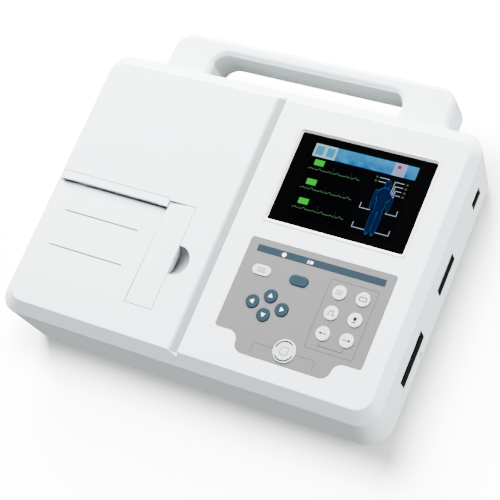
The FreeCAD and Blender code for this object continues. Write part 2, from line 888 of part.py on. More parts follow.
def neck_arm(x0):
    x1 = x0 + cheek_thickness
    inner, outer = neck_radius - neck_width / 2, neck_radius + neck_width / 2
    ring = tube(outer, inner, (x0, hinge_y, hinge_z), (x1, hinge_y, hinge_z))
    rise = under_deck - hinge_z
    y0, y1 = hinge_y - neck_width / 2, hinge_y + inner / 2
    far = 2 * outer
    ring = ring.common(side_profile([(y0, hinge_z), (y0, hinge_z - far), (hinge_y + far, hinge_z - far),
                                     (hinge_y + far, hinge_z + rise), (y1, hinge_z + rise), (y1, hinge_z)],
                                    x0, x1))
    stalk = box(x0, x1, y0, y0 + neck_width, hinge_z - neck_radius, hinge_z)
    boss = rod(hinge_boss, (x0, hinge_y, hinge_z), (x1, hinge_y, hinge_z))
    return ring.fuse([stalk, boss])


def door_cheek(x0):
    x1 = x0 + cheek_thickness
    y0 = hinge_y + math.sqrt((neck_radius - neck_width / 2) ** 2 - (under_deck - hinge_z) ** 2)
    lobe = bush_radius + bush_wall
    y1 = platen_y + lobe
    rail = side_profile([(y0, door_underside(y0) + 0.5), (y1, door_underside(y1) + 0.5), (y1, platen_height),
                         (y1 - 2 * lobe, platen_height), (y1 - 3 * lobe, platen_height + lobe),
                         (y0 + neck_width, platen_height + lobe)], x0, x1)
    end = rod(lobe, (x0, platen_y, platen_height), (x1, platen_y, platen_height))
    cheek = rail.fuse([end, neck_arm(x0)])
    bush = bush_radius + press_fit
    holes = [rod(bush, (x0 - 1, platen_y, platen_height), (x1 + 1, platen_y, platen_height)),
             rod(hinge_pin_radius + running_fit, (x0 - 1, hinge_y, hinge_z), (x1 + 1, hinge_y, hinge_z))]
    return cheek.cut(holes)


def make_door():
    region = slanted_region(left - wall, step_x + wall, door_front_y, panel_rear)
    region = region.fuse(slanted_region(step_x, door_edge, door_front_y, strip_rear))
    region = region.common(box(left - wall, door_edge, front, rear, split + slip, deck_height + wall))
    lid = cover_block().common(region).cut([door_dip_cutter(), strip_tilt_cutter(), strip_line_cutter()])
    link = step_x + gear_clear / 2
    below = side_profile([(front, door_underside(front)), (rear, door_underside(rear)),
                          (rear, 0), (front, 0)], left, link)
    below = below.fuse(box(link, right, front, rear, 0, under_deck))
    lid = lid.cut(below.common(cover_hollow()))
    ribs = []
    for place in rib_places:
        y = panel_rear - place
        low = door_underside(y) + wall - rib_depth
        ribs.append(box(paper_x - rib_length / 2, paper_x + rib_length / 2,
                        y - rib_width / 2, y + rib_width / 2, low, deck_height + 1))
    lid = lid.cut(ribs)
    notch_side = box(door_edge - wall, door_edge, notch_y - notch_radius, notch_y + notch_radius,
                     deck_height - notch_depth, deck_height - wall / 2)
    lid = lid.fuse([door_cheek(cheek_left), door_cheek(cheek_right), notch_side])
    return lid.removeSplitter()


# Printer

def gear(teeth, phase, bore, centre, x0, x1):
    pitch = gear_module * teeth / 2
    pressure = math.radians(gear_pressure)
    base = pitch * math.cos(pressure)
    tip, root = pitch + 0.9 * gear_module, pitch - 1.25 * gear_module
    half_tooth = (math.pi * gear_module / 2 - gear_backlash) / (2 * pitch)

    def half_angle(radius):
        lean = math.acos(min(1.0, base / radius))
        return half_tooth + math.tan(pressure) - pressure - (math.tan(lean) - lean)

    start = max(base, root)
    radii = [start + (tip - start) * step / 3 for step in range(4)]
    flank = [(root, half_angle(start))] + [(radius, half_angle(radius)) for radius in radii]
    points = []
    for tooth in range(teeth):
        middle = math.radians(phase) + 2 * math.pi * tooth / teeth
        sides = [(r, middle - a) for r, a in flank] + [(r, middle + a) for r, a in reversed(flank)]
        points += [(centre[0] + r * math.cos(a), centre[1] + r * math.sin(a)) for r, a in sides]
    blank = side_profile(points, x0, x1)
    return blank.cut(rod(bore, (x0 - 1, *centre), (x1 + 1, *centre)))


def gear_phases():
    platen = -90.0
    idler = 90.0 + 180.0 / idler_teeth
    pitch = 360.0 / idler_teeth
    share = ((motor_angle - idler) % pitch) / pitch
    pinion = motor_angle + 180.0 + (share + 0.5) * 360.0 / pinion_teeth
    return platen, idler, pinion


def make_platen():
    shaft = rod(platen_core, (cheek_left - gear_clear / 2, platen_y, platen_height),
                (plate_right + sheet, platen_y, platen_height))
    x0, x1 = paper_x - bay_half, paper_x + bay_half
    sleeve = tube(platen_radius, platen_core, (x0, platen_y, platen_height), (x1, platen_y, platen_height))
    wheel = gear(platen_teeth, gear_phases()[0], platen_core, (platen_y, platen_height),
                 gear_left, gear_right)
    bushes = [tube(bush_radius, platen_core + running_fit, (x, platen_y, platen_height),
                   (x + cheek_thickness, platen_y, platen_height)) for x in (cheek_left, cheek_right)]
    parts["platen_shaft"] = shaft
    parts["platen_sleeve"] = sleeve
    parts["platen_gear"] = wheel
    parts["platen_bushes"] = group(bushes)


def make_drive():
    axle = idler_pin + running_fit
    parts["idler_gear"] = gear(idler_teeth, gear_phases()[1], axle, (platen_y, idler_z),
                               gear_left, gear_right)
    pinion = gear(pinion_teeth, gear_phases()[2], motor_shaft, (pinion_y, pinion_z), gear_left, gear_right)
    parts["motor_pinion"] = pinion
    bearing_end = plate_right + motor_bearing
    parts["motor_spindle"] = rod(motor_shaft, (gear_left, pinion_y, pinion_z),
                                 (bearing_end, pinion_y, pinion_z))
    head_x = gear_left - slip
    pin = rod(idler_pin, (head_x, platen_y, idler_z), (plate_right, platen_y, idler_z))
    head = rod(idler_head, (head_x - idler_head_height, platen_y, idler_z), (head_x, platen_y, idler_z))
    shoulder = tube(idler_head, idler_pin, (gear_right + slip, platen_y, idler_z),
                    (plate_left, platen_y, idler_z))
    parts["idler_axle"] = pin.fuse([head, shoulder]).removeSplitter()
    can = rod(motor_radius, (plate_right, pinion_y, pinion_z), (motor_right, pinion_y, pinion_z))
    flange_end = plate_right + motor_flange
    reach = motor_radius + motor_ear_reach
    ears = [rod(motor_ear, (plate_right, y, pinion_z), (flange_end, y, pinion_z))
            for y in (pinion_y - reach, pinion_y + reach)]
    link = box(plate_right, flange_end, pinion_y - reach, pinion_y + reach,
               pinion_z - motor_ear, pinion_z + motor_ear)
    motor = can.fuse(ears + [link])
    motor = motor.cut([rod(motor_shaft + running_fit, (plate_right - 1, pinion_y, pinion_z),
                           (bearing_end, pinion_y, pinion_z))])
    parts["feed_motor"] = motor.removeSplitter()


def make_chassis():
    x0 = bay_left
    back_y = chassis_y + sheet
    back = box(x0, plate_right, chassis_y, back_y, floor, bay_top)
    foot = box(x0, plate_right, chassis_y, back_y + chassis_foot, floor, floor + sheet)
    front_y = pinion_y - 2 * motor_radius
    plate = box(plate_left, plate_right, front_y, back_y, floor, bay_top)
    toe = box(plate_left, plate_right + chassis_foot, front_y, pinion_y, floor, floor + sheet)
    ears = []
    for x in (paper_x - bay_half - sheet, paper_x + bay_half):
        near = 2 * head_pivot
        ears.append(side_profile([(back_y, head_pivot_z - 2 * near), (back_y, head_pivot_z + 2 * near),
                                  (head_pivot_y - near, head_pivot_z + near),
                                  (head_pivot_y - near, head_pivot_z - near)], x, x + sheet))
    chassis = back.fuse([foot, plate, toe] + ears)
    notch = platen_core + 0.5
    before, past = plate_left - 1, plate_right + 1
    cuts = [box(before, past, platen_y - notch, platen_y + notch, platen_height, bay_top + 1),
            rod(notch, (before, platen_y, platen_height), (past, platen_y, platen_height)),
            rod(idler_pin + press_fit, (before, platen_y, idler_z), (past, platen_y, idler_z)),
            rod(motor_shaft + 0.5, (before, pinion_y, pinion_z), (past, pinion_y, pinion_z)),
            rod(head_pivot + running_fit, (x0 - 2 * sheet, head_pivot_y, head_pivot_z),
                (bay_right + 2 * sheet, head_pivot_y, head_pivot_z))]
    parts["printer_chassis"] = chassis.cut(cuts).removeSplitter()
    strips = []
    for x in (paper_x - bay_half / 2, paper_x + bay_half / 2):
        sink_rear = head_front + head_plate + head_sink
        middle = (head_low + head_high) / 2
        tip = sink_rear + head_gap
        bend, top = middle + spring_rise / 2, middle + spring_rise
        outline = [(chassis_y, middle - spring_rise), (tip, bend), (tip, top),
                   (tip + spring_sheet, top), (tip + spring_sheet, bend),
                   (chassis_y, middle - spring_rise + 2 * spring_sheet)]
        strips.append(side_profile(outline, x - spring_width / 2, x + spring_width / 2))
    parts["head_springs"] = group(strips)


def make_head():
    x0, x1 = paper_x - bay_half + head_side_gap, paper_x + bay_half - head_side_gap
    y0 = head_front + head_plate
    sink = box(x0, x1, y0, y0 + head_sink, head_low, head_high)
    y1 = y0 + head_sink
    fins = []
    for step in range(sink_fin_count):
        x = x0 + sink_fin_pitch * (step + 0.5)
        fins.append(box(x, x + sink_fin, y1 - sink_fin_depth, y1 + 1,
                        head_low - 1, head_low + sink_fin_height))
    sink = sink.cut(fins)
    reach = head_side_gap + sheet
    pivots = [rod(head_pivot, (x0 - reach, head_pivot_y, head_pivot_z), (x0, head_pivot_y, head_pivot_z)),
              rod(head_pivot, (x1, head_pivot_y, head_pivot_z), (x1 + reach, head_pivot_y, head_pivot_z))]
    parts["head_heatsink"] = sink.fuse(pivots).removeSplitter()
    plate = box(x0 + 1, x1 - 1, head_front, y0, platen_height - spring_rise, head_high - head_plate)
    parts["print_head"] = plate


def make_paper_bay():
    y0, y1 = bay_front_y, bay_rear_y
    bend = min(bay_round, 0.4 * (y1 - y0))
    z0 = floor

    def trough(inset, low, high):
        block = box(bay_left + inset, bay_right - inset, y0 + inset, y1 - inset, low, high)
        return fillet_where(block, bend - inset, lambda b: at_height(low)(b) and b.XLength > bend)

    bay = trough(0, z0, bay_top).cut(trough(bay_wall, z0 + bay_floor, bay_top + 1))
    bay = bay.cut(box(bay_left - 1, bay_right + 1, y1 - bay_wall - bay_rear_notch, y1 + 1,
                      bay_rear_top, bay_top + 1))
    lugs = []
    for x in (bay_left, bay_right - bay_wall):
        lugs.append(side_profile([(y0 + bay_wall, bay_top), (hinge_y, hinge_z + hinge_boss),
                                  (hinge_y - hinge_boss, hinge_z), (hinge_y, hinge_z - hinge_boss),
                                  (y0 + bay_wall, bay_top - bay_lug)], x, x + bay_wall))
    feet = [box(x, x + bay_foot, y0 + bend, y1 - bend, z0, z0 + bay_floor)
            for x in (bay_left, bay_right - bay_foot)]
    holes = [rod(hinge_pin_radius + press_fit, (x - 1, hinge_y, hinge_z),
                 (x + bay_wall + 1, hinge_y, hinge_z))
             for x in (bay_left, bay_right - bay_wall)]
    parts["paper_bay"] = bay.fuse(lugs + feet).cut(holes).removeSplitter()
    ends = [(cheek_left - 3 * slip, bay_left + 3 * bay_wall),
            (bay_right - 3 * bay_wall, cheek_right + cheek_thickness + 3 * slip)]
    pins = [rod(hinge_pin_radius, (x0, hinge_y, hinge_z), (x1, hinge_y, hinge_z)) for x0, x1 in ends]
    parts["hinge_pins"] = group(pins)


def make_tear_bar():
    bar = cover_block().common(tear_bar_seat(0))
    tooth = tear_tooth
    count = int((paper_width + paper_slack) / tooth)
    x0 = paper_x - tooth * count / 2
    low = deck_height - tear_bar_height - 1
    nicks = []
    for step in range(count):
        x = x0 + tooth * step
        nick = polygon([(x, slot_rear - 1, low), (x, slot_rear, low),
                        (x + tooth / 2, slot_rear + tear_tooth_depth, low),
                        (x + tooth, slot_rear, low), (x + tooth, slot_rear - 1, low)])
        nicks.append(Part.Face(nick).extrude(Vector(0, 0, tear_bar_height + 2)))
    return bar.cut(nicks)


# Screen, keypad and boards

def make_screen():
    top = deck_height + bezel_proud
    ring = screen_box(bezel_rim, deck_height - bezel_seat, top, bezel_corner)
    ring = fillet_where(ring, bezel_proud + 0.5, at_height(top))
    skirt = screen_box(glass_border, glass_top, top - 1, bezel_corner)
    flare = bezel_rim / 2
    bevel = []
    for grow, z in ((0, glass_top - 0.01), (flare, top + 0.01)):
        half_x, half_y = screen_width / 2 + grow, screen_depth / 2 + grow
        bevel.append(rounded_wire(panel_x - half_x, panel_x + half_x, screen_y - half_y, screen_y + half_y,
                                  z, flare + grow))
    parts["screen_bezel"] = ring.fuse(skirt).cut(Part.makeLoft(bevel, True, True)).removeSplitter()
    parts["screen_window"] = screen_box(glass_border, ledge_top, glass_top, bezel_corner)
    module = screen_box(screen_ledge_width - 4, ledge_low - screen_module_height, ledge_low, 1.0)
    tab_low = ledge_low - screen_tab
    tabs = []
    for x, y in screen_corners():
        side = panel_x + math.copysign(screen_width / 2, x - panel_x)
        tabs.append(rod(small_boss, (x, y, tab_low), (x, y, ledge_low)))
        tabs.append(box(min(x, side), max(x, side), y - small_boss, y + small_boss, tab_low, ledge_low))
    holes = [rod(screw_radius + slip, (x, y, tab_low - 1), (x, y, ledge_low + 1))
             for x, y in screen_corners()]
    parts["screen_module"] = module.fuse(tabs).cut(holes).removeSplitter()


def make_keypad():
    overlay = pad_plate(deck_height - pad_thickness, deck_height, 0)
    parts["keypad_overlay"] = overlay.cut([key_block(place, key_gap, deck_height - 2, deck_height + 1)
                                           for place in key_layout().values()])
    for name, place in key_layout().items():
        parts[name] = key_cap(place)
    low = pad_top - start_drop - start_size / 2 - key_board_past
    board_shape = slab(panel_x - pad_width / 2, panel_x + pad_width / 2, low, pad_top, key_board_top - board,
                       key_board_top, pad_corner)
    holes = [rod(screw_radius + slip, (x, y, key_board_top - 2 * board), (x, y, key_board_top + 1))
             for x, y in pad_board_corners()]
    parts["keypad_board"] = board_shape.cut(holes)
    domes = []
    for x, y, half_length, half_width in key_layout().values():
        radius = (dome_radius ** 2 + dome_height ** 2) / (2 * dome_height)
        ball = Part.makeSphere(radius, Vector(x, y, key_board_top + dome_height - radius))
        reach = 2 * dome_radius
        domes.append(ball.common(box(x - reach, x + reach, y - reach, y + reach,
                                     key_board_top, key_board_top + 2 * dome_height)))
    parts["key_domes"] = group(domes)


def screw(x, y, low, high, top_side):
    shank = rod(screw_radius, (x, y, low), (x, y, high))
    head_z = high if top_side else low - screw_head_height
    head = rod(screw_head - slip, (x, y, head_z), (x, y, head_z + screw_head_height))
    return shank.fuse(head).removeSplitter()


def board_block(x, y, width, depth, top, height):
    return box(x - width / 2, x + width / 2, y - depth / 2, y + depth / 2, top, top + height)


def make_boards():
    x0, x1, y0, y1 = main_board_left, main_board_right, main_board_front, main_board_rear
    low, top = main_board_top - board, main_board_top
    holes = [rod(screw_radius + slip, (x, y, low - 1), (x, y, top + 1)) for x, y in main_board_posts()]
    parts["main_board"] = box(x0, x1, y0, y1, low, top).cut(holes)
    chips = []
    for along, deep, side, height in main_chips:
        chips.append(board_block(x0 + along * (x1 - x0), y0 + deep * (y1 - y0), side, side, top, height))
    parts["main_board_parts"] = group(chips)
    low, top = supply_low, supply_low + board
    x0, y0 = supply_left, supply_front
    holes = [rod(screw_radius + slip, (x, y, low - 1), (x, y, top + 1)) for x, y in supply_posts()]
    parts["supply_board"] = box(x0, x0 + supply_width, y0, supply_rear, low, top).cut(holes)
    core, bobbin = [board_block(x0 + x, y0 + y, width, depth, top, height)
                    for x, y, width, depth, height in supply_transformer]
    blocks = [board_block(x0 + x, y0 + y, width, depth, top, height)
              for x, y, width, depth, height in supply_blocks]
    cans = [rod(radius, (x0 + x, y0 + y, top), (x0 + x, y0 + y, top + height))
            for x, y, radius, height in supply_cans]
    parts["supply_parts"] = group([core.fuse(bobbin).removeSplitter()] + blocks + cans)
    screws = [screw(x, y, main_board_top - board_screw, main_board_top, True) for x, y in main_board_posts()]
    screws += [screw(x, y, low + 2 * board - supply_rise, top, True) for x, y in supply_posts()]
    screws += [screw(x, y, key_board_top - board, key_board_top + 2 * board, False)
               for x, y in pad_board_corners()]
    screws += [screw(x, y, ledge_low - screen_tab, ledge_low + screen_tab, False)
               for x, y in screen_corners()]
    parts["board_screws"] = group(screws)


def d_outline(x, middle, width, grow):
    lean = math.tan(math.radians(shell_lean)) * shell_height
    half = width / 2 + grow
    z0, z1 = middle - shell_height / 2 - grow, middle + shell_height / 2 + grow
    low_half = half - lean / 2
    return Part.Face(polygon([(x, -low_half, z0), (x, low_half, z0), (x, half, z1), (x, -half, z1)]))


def make_d_socket(name, from_rear, size, middle, width, pins):
    face = wall_x(middle) - socket_recess
    seat = face - shell_length
    half = size[0] / 2 - socket_border
    tray_top = main_board_top + socket_tray
    flange = box(seat, seat + flange_sheet, -half, half, tray_top, middle + size[1] / 2 - socket_border)
    shell = d_outline(seat, middle, width, 0).extrude(Vector(shell_length, 0, 0))
    hollow = d_outline(seat - 1, middle, width, -shell_sheet).extrude(Vector(shell_length + 2, 0, 0))
    nut_front = seat + flange_sheet + jack_nut_length
    nuts = []
    bores = []
    for nut_y in (jack_nut_inset - half, half - jack_nut_inset):
        nuts.append(rod(jack_nut, (seat + flange_sheet, nut_y, middle), (nut_front, nut_y, middle)))
        bores.append(rod(jack_nut_bore, (seat + 2 * flange_sheet, nut_y, middle),
                         (nut_front + 1, nut_y, middle)))
    metal = flange.fuse([shell] + nuts).cut([hollow] + bores)
    insert = d_outline(seat, middle, width, -shell_sheet).extrude(Vector(shell_length - socket_border, 0, 0))
    inset = half - 2 * jack_nut
    body = box(seat - socket_length, seat, -inset, inset, main_board_top, middle + shell_height / 2)
    tray_end = wall_x(main_board_top) - wall - slip
    tray = box(seat - socket_length, tray_end, -half, half, main_board_top, tray_top)
    holes = []
    for row, count in enumerate(((pins + 1) // 2, pins // 2)):
        for step in range(count):
            hole_y = (step - (count - 1) / 2) * pin_pitch
            hole_z = middle + (0.5 - row) * pin_row
            holes.append(rod(pin_radius, (face - pin_depth, hole_y, hole_z), (face, hole_y, hole_z)))
    insert = insert.fuse([body, tray]).cut(holes)
    for node, shape in ((name, metal), (name + "_insert", insert)):
        shape.translate(Vector(0, rear - from_rear, 0))
        parts[node] = shape.removeSplitter()


def make_network_socket():
    y = rear - network_from_rear
    half_y, half_z = network_size[0] / 2 - network_gap, network_size[1] / 2 - network_gap
    face = wall_x(network_height) - network_recess
    jack = box(face - network_length, face, y - half_y, y + half_y, main_board_top, network_height + half_z)
    wide, high, deep = network_mouth
    low = network_height - high / 2
    mouth = box(face - deep, face + 1, y - wide / 2, y + wide / 2, low, low + high)
    half_key = network_key[0] / 2
    key_way = box(face - deep, face + 1, y - half_key, y + half_key,
                  low + high / 2, low + high + network_key[1])
    parts["network_socket"] = jack.cut([mouth, key_way]).removeSplitter()


def make_inlet():
    y = rear - inlet_from_rear
    half_y, half_z = inlet_size[0] / 2 - inlet_wall, inlet_size[1] / 2 - inlet_wall
    body = inlet_box(0, inlet_x, inlet_x + inlet_length)
    flange = inlet_box(inlet_border, inlet_x, inlet_x + inlet_flange)
    low, high, shoulder = inlet_height - half_z, inlet_height + half_z, inlet_height + half_z - inlet_bevel
    mouth = side_profile([(y - half_y, low), (y + half_y, low), (y + half_y, shoulder),
                          (y + half_y - inlet_bevel, high), (y - half_y + inlet_bevel, high),
                          (y - half_y, shoulder)],
                         inlet_x - 1, inlet_x + inlet_mouth_depth)

    def blade(offset):
        middle_y, middle_z = y + offset[0], inlet_height + offset[1]
        half_wide, half_high = blade_size[0] / 2, blade_size[1] / 2
        return box(inlet_x + blade_front, inlet_x + blade_rear, middle_y - half_wide, middle_y + half_wide,
                   middle_z - half_high, middle_z + half_high)

    blades = [blade(offset) for offset in blade_places]
    parts["mains_inlet"] = body.fuse(flange).cut([mouth] + blades).removeSplitter()
    parts["inlet_blades"] = group(blades)


def make_ground_stud():
    end = stud_x + stud_length - stud_inset
    stud = rod(stud_radius, (stud_x + stud_inset, stud_y, inlet_height), (end, stud_y, inlet_height))
    tail = rod(stud_neck, (end, stud_y, inlet_height), (end + stud_tail, stud_y, inlet_height))
    nut_x = stud_x + stud_length + 2 * wall
    turns = [math.radians(60 * step) for step in range(6)]
    nut = [(stud_y + stud_nut * math.cos(turn), inlet_height + stud_nut * math.sin(turn)) for turn in turns]
    nut = side_profile(nut, nut_x, nut_x + stud_nut_height)
    parts["ground_stud"] = stud.fuse([tail, nut]).removeSplitter()


def make_sockets():
    make_d_socket("serial_socket", serial_from_rear, serial_size, serial_height, serial_shell,
                  serial_pin_count)
    make_d_socket("patient_socket", patient_from_rear, patient_size, patient_height, patient_shell,
                  patient_pin_count)
    make_network_socket()
    make_inlet()
    make_ground_stud()


def make_power():
    x0, x1, y0, y1 = battery_rect(0)
    top = floor + battery_size[2]
    pack = slab(x0, x1, y0, y1, floor, top, 2 * battery_round)
    parts["battery_pack"] = fillet_where(pack, battery_round, at_height(top))
    x0, x1, y0, y1 = battery_rect(battery_slack)
    tray_top = floor + battery_wall_share * battery_size[2]
    tray = box(x0 - wall, x1 + wall, y0 - wall, y1 + wall, floor, tray_top)
    parts["battery_tray"] = tray.cut(box(x0, x1, y0, y1, floor - 1, tray_top + 1))
    x0, x1, y0, y1 = battery_rect(battery_slack - slip)
    lid = box(x0, x1, y0, y1, foot_height, floor)
    width, pitch, length, inset, depth = lid_grip
    grips = []
    for step in range(lid_grip_count):
        x = x0 + inset + pitch * step
        grips.append(box(x, x + width, y1 - inset - length, y1 - inset,
                         foot_height - 1, foot_height + depth))
    parts["battery_lid"] = lid.cut(grips)
    radius, height = speaker_cone
    cone_top = floor + height
    cone = rod(radius, (speaker_x, speaker_y, floor), (speaker_x, speaker_y, cone_top))
    radius, height = speaker_magnet
    magnet = rod(radius, (speaker_x, speaker_y, cone_top), (speaker_x, speaker_y, cone_top + height))
    parts["speaker"] = cone.fuse(magnet).removeSplitter()


def make_fasteners():
    feet = [rod(foot_radius, (x, y, 0), (x, y, foot_height)) for x, y in foot_places]
    parts["rubber_feet"] = group([fillet_where(foot, foot_round, at_height(0)) for foot in feet])
    screws = []
    seat = foot_height + screw_sink
    for x, y in boss_places:
        head = rod(screw_head, (x, y, seat - case_screw_head), (x, y, seat))
        shank = rod(screw_radius, (x, y, seat), (x, y, boss_top + case_screw_bite))
        screws.append(head.fuse(shank).removeSplitter())
    parts["case_screws"] = group(screws)
    screws = []
    seat = rear - wall
    for x, z in handle_screw_places():
        head = rod(screw_head, (x, seat - screw_head_height, z), (x, seat, z))
        shank = rod(screw_radius, (x, seat, z), (x, rear + handle_screw_reach, z))
        screws.append(head.fuse(shank).removeSplitter())
    parts["handle_screws"] = group(screws)


parts["top_cover"] = make_top_cover()
parts["bottom_case"] = make_bottom_case()
parts["carry_handle"] = make_handle()
parts["paper_door"] = make_door()
parts["tear_bar"] = make_tear_bar()
make_platen()
make_drive()
make_chassis()
make_head()
make_paper_bay()
make_screen()
make_keypad()
make_boards()
make_sockets()
make_power()
make_fasteners()

os.makedirs("parts", exist_ok=True)
for name, shape in parts.items():
    shape.exportStep("parts/%s.step" % name)
    print(name, len(shape.Solids), shape.isValid(), round(shape.Volume / 1000, 2))
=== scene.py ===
import math
import bpy
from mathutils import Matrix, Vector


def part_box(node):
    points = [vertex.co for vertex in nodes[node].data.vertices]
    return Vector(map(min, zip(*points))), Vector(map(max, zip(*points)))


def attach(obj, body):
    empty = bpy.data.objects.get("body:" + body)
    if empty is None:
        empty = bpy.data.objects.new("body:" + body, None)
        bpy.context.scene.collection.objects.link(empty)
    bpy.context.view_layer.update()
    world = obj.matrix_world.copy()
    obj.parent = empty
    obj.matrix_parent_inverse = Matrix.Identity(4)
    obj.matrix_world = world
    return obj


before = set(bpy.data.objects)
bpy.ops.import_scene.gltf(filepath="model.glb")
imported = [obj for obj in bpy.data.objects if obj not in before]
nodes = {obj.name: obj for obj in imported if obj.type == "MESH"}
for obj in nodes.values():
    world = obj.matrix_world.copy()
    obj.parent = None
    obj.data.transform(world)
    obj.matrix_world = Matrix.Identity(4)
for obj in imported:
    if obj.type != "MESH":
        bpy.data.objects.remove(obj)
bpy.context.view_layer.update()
millimetre = 0.001
print("frame loaded,", len(nodes), "nodes")

# camera, lights and floor
studio = {
    "cameraPlace": (0.50581, -0.31512, 1.01916),
    "cameraTurn": (24.0762, 18.9568, 23.8512),  # degrees
    "lens": 106.89,
    "sensor": 36.0,
    "nearest": 0.01,
    "floorSize": 14.0,
    "floorGrey": 0.90,
    "floorGlow": 10.0,
    "floorCloudScale": 1.5,
    "floorCloud": (0.995, 1.005),
    "floorRoughness": (0.6, 0.05),  # least, drift
    # painted contact shadow: the floor's glow dims softly round the foot of the case
    "shadeMiddle": (0.0, -0.018),
    "shadeHalf": (0.158, 0.118),
    "shadeReach": 0.042,
    "shadeDepth": 0.975,
    "skyStrength": 0.10,
    "lights": [
        # name, place, aim, size, watts
        ("keySoftbox", (-1.0, 1.62, 1.08), (0.0, -0.05, 0.03), 1.3, 625.0),
        ("rightSoftbox", (1.7, 0.15, 0.25), (0.16, 0.0, 0.03), 1.2, 110.0),
        ("frontSoftbox", (-0.3, -1.9, 0.12), (0.0, -0.13, 0.03), 1.2, 36.0),
        ("topSoftbox", (0.0, 0.9, 2.3), (0.0, 0.0, 0.0), 1.8, 12.0),
    ],
}


def clearSelection():
    if bpy.context.mode != "OBJECT":
        bpy.ops.object.mode_set(mode="OBJECT")
    bpy.ops.object.select_all(action="DESELECT")


def setStudio():
    clearSelection()
    turn = [math.radians(angle) for angle in studio["cameraTurn"]]
    bpy.ops.object.camera_add(location=studio["cameraPlace"], rotation=turn)
    camera = bpy.context.object
    camera.data.lens = studio["lens"]
    camera.data.sensor_width = studio["sensor"]
    camera.data.clip_start = studio["nearest"]
    bpy.context.scene.camera = camera
    for name, place, aim, size, watts in studio["lights"]:
        bpy.ops.object.light_add(type="AREA", location=place)
        light = bpy.context.object
        light.name = name
        light.data.size = size
        light.data.energy = watts
        away = [place[axis] - aim[axis] for axis in range(3)]
        flat = math.hypot(away[0], away[1])
        light.rotation_euler = (math.atan2(flat, away[2]), 0.0, math.atan2(away[0], -away[1]))
    world = bpy.context.scene.world or bpy.data.worlds.new("studioSky")
    bpy.context.scene.world = world
    world.use_nodes = True
    sky = world.node_tree.nodes["Background"]
    sky.inputs["Color"].default_value = (1.0, 1.0, 1.0, 1.0)
    sky.inputs["Strength"].default_value = studio["skyStrength"]
    clearSelection()
    bpy.ops.mesh.primitive_plane_add(size=studio["floorSize"])
    floor = bpy.context.object
    floor.name = "floor"
    return floor


# materials: Value wraps a socket, Finish builds one material
class Value:
    def __init__(self, finish, socket):
        self.finish = finish
        self.socket = socket

    def work(self, operation, first, second=None):
        inputs = {0: first} if second is None else {0: first, 1: second}
        return self.finish.node("ShaderNodeMath", {"operation": operation}, inputs)

    def __add__(self, other):
        return self.work("ADD", self, other)

    def __radd__(self, other):
        return self.work("ADD", other, self)

    def __sub__(self, other):
        return self.work("SUBTRACT", self, other)

    def __rsub__(self, other):
        return self.work("SUBTRACT", other, self)

    def __mul__(self, other):
        return self.work("MULTIPLY", self, other)

    def __rmul__(self, other):
        return self.work("MULTIPLY", other, self)

    def __truediv__(self, other):
        return self.work("DIVIDE", self, other)

    def __pow__(self, other):
        return self.work("POWER", self, other)

    def __rpow__(self, other):
        return self.work("POWER", other, self)

    def __abs__(self):
        return self.work("ABSOLUTE", self)

    def __gt__(self, other):
        return self.work("GREATER_THAN", self, other)

    def __lt__(self, other):
        return self.work("LESS_THAN", self, other)

    def highest(self, other):
        return self.work("MAXIMUM", self, other)

    def lowest(self, other):
        return self.work("MINIMUM", self, other)

    def clamped(self):
        return self.highest(0.0).lowest(1.0)


class Finish:
    def __init__(self, name):
        self.material = bpy.data.materials.new(name)
        self.material.use_nodes = True
        self.tree = self.material.node_tree
        self.shader = self.tree.nodes["Principled BSDF"]

    def node(self, kind, settings=None, inputs=None, output=0):
        made = self.tree.nodes.new(kind)
        for key, setting in (settings or {}).items():
            setattr(made, key, setting)
        for key, value in (inputs or {}).items():
            self.feed(made.inputs[key], value)
        return Value(self, made.outputs[output])

    def feed(self, socket, value):
        if isinstance(value, Value):
            self.tree.links.new(value.socket, socket)
        else:
            socket.default_value = value

    def set(self, **sockets):
        for key, value in sockets.items():
            self.feed(self.shader.inputs[key.replace("_", " ")], value)

    def place(self):
        return self.node("ShaderNodeTexCoord", output="Object")

    def axis(self, letter):
        return self.node("ShaderNodeSeparateXYZ", None, {0: self.place()}, letter)

    def noise(self, scale, detail=3.0, roughness=0.5):
        inputs = {"Vector": self.place(), "Scale": scale, "Detail": detail, "Roughness": roughness}
        return self.node("ShaderNodeTexNoise", None, inputs, "Fac")

    def blend(self, factor, first, second):
        return self.node("ShaderNodeMix", {"data_type": "RGBA"}, {0: factor, 6: first, 7: second}, 2)

    def tones(self, factor, colour, low, high):
        return self.blend(factor, shade(colour, low), shade(colour, high))

    def bump(self, height, strength, distance):
        inputs = {"Strength": strength, "Distance": distance, "Height": height}
        return self.node("ShaderNodeBump", None, inputs, "Normal")


def shade(colour, factor):
    return tuple(channel * factor for channel in colour) + (1.0,)


plasticGrain = {
    "mottleScale": 28.0,
    "grainScale": 1500.0,
    "mottle": (0.985, 1.015),
    "zoneMottle": (0.97, 1.03),
    "roughnessDrift": 0.03,
    "bump": (0.05, 0.00008),  # strength, distance
}


# moulded plastic: fine spark-eroded grain, faint mottling, roughness that drifts;
# a zone is a box in millimetres where a darker tone is painted in as shade
def mouldedPlastic(name, colour, roughness, gloss=0.5, zones=()):
    finish = Finish(name)
    mottle = finish.noise(plasticGrain["mottleScale"], 4.0)
    fine = finish.noise(plasticGrain["grainScale"], 2.0, 0.6)
    tone = finish.tones(mottle, colour, *plasticGrain["mottle"])
    for zone in zones:
        inside = 1.0
        for letter, (low, high, soft) in zip("XYZ", zone["box"]):
            along = finish.axis(letter) / millimetre
            inside = inside * ((along - low) / soft).clamped()
            inside = inside * ((high - along) / zone["edge"]).clamped()
        zoneTone = finish.tones(mottle, zone["colour"], *plasticGrain["zoneMottle"])
        tone = finish.blend(inside, tone, zoneTone)
    finish.set(Base_Color=tone, Normal=finish.bump(fine, *plasticGrain["bump"]), Specular_IOR_Level=gloss,
               Roughness=roughness + plasticGrain["roughnessDrift"] * (mottle + fine - 1.0))
    return finish.material


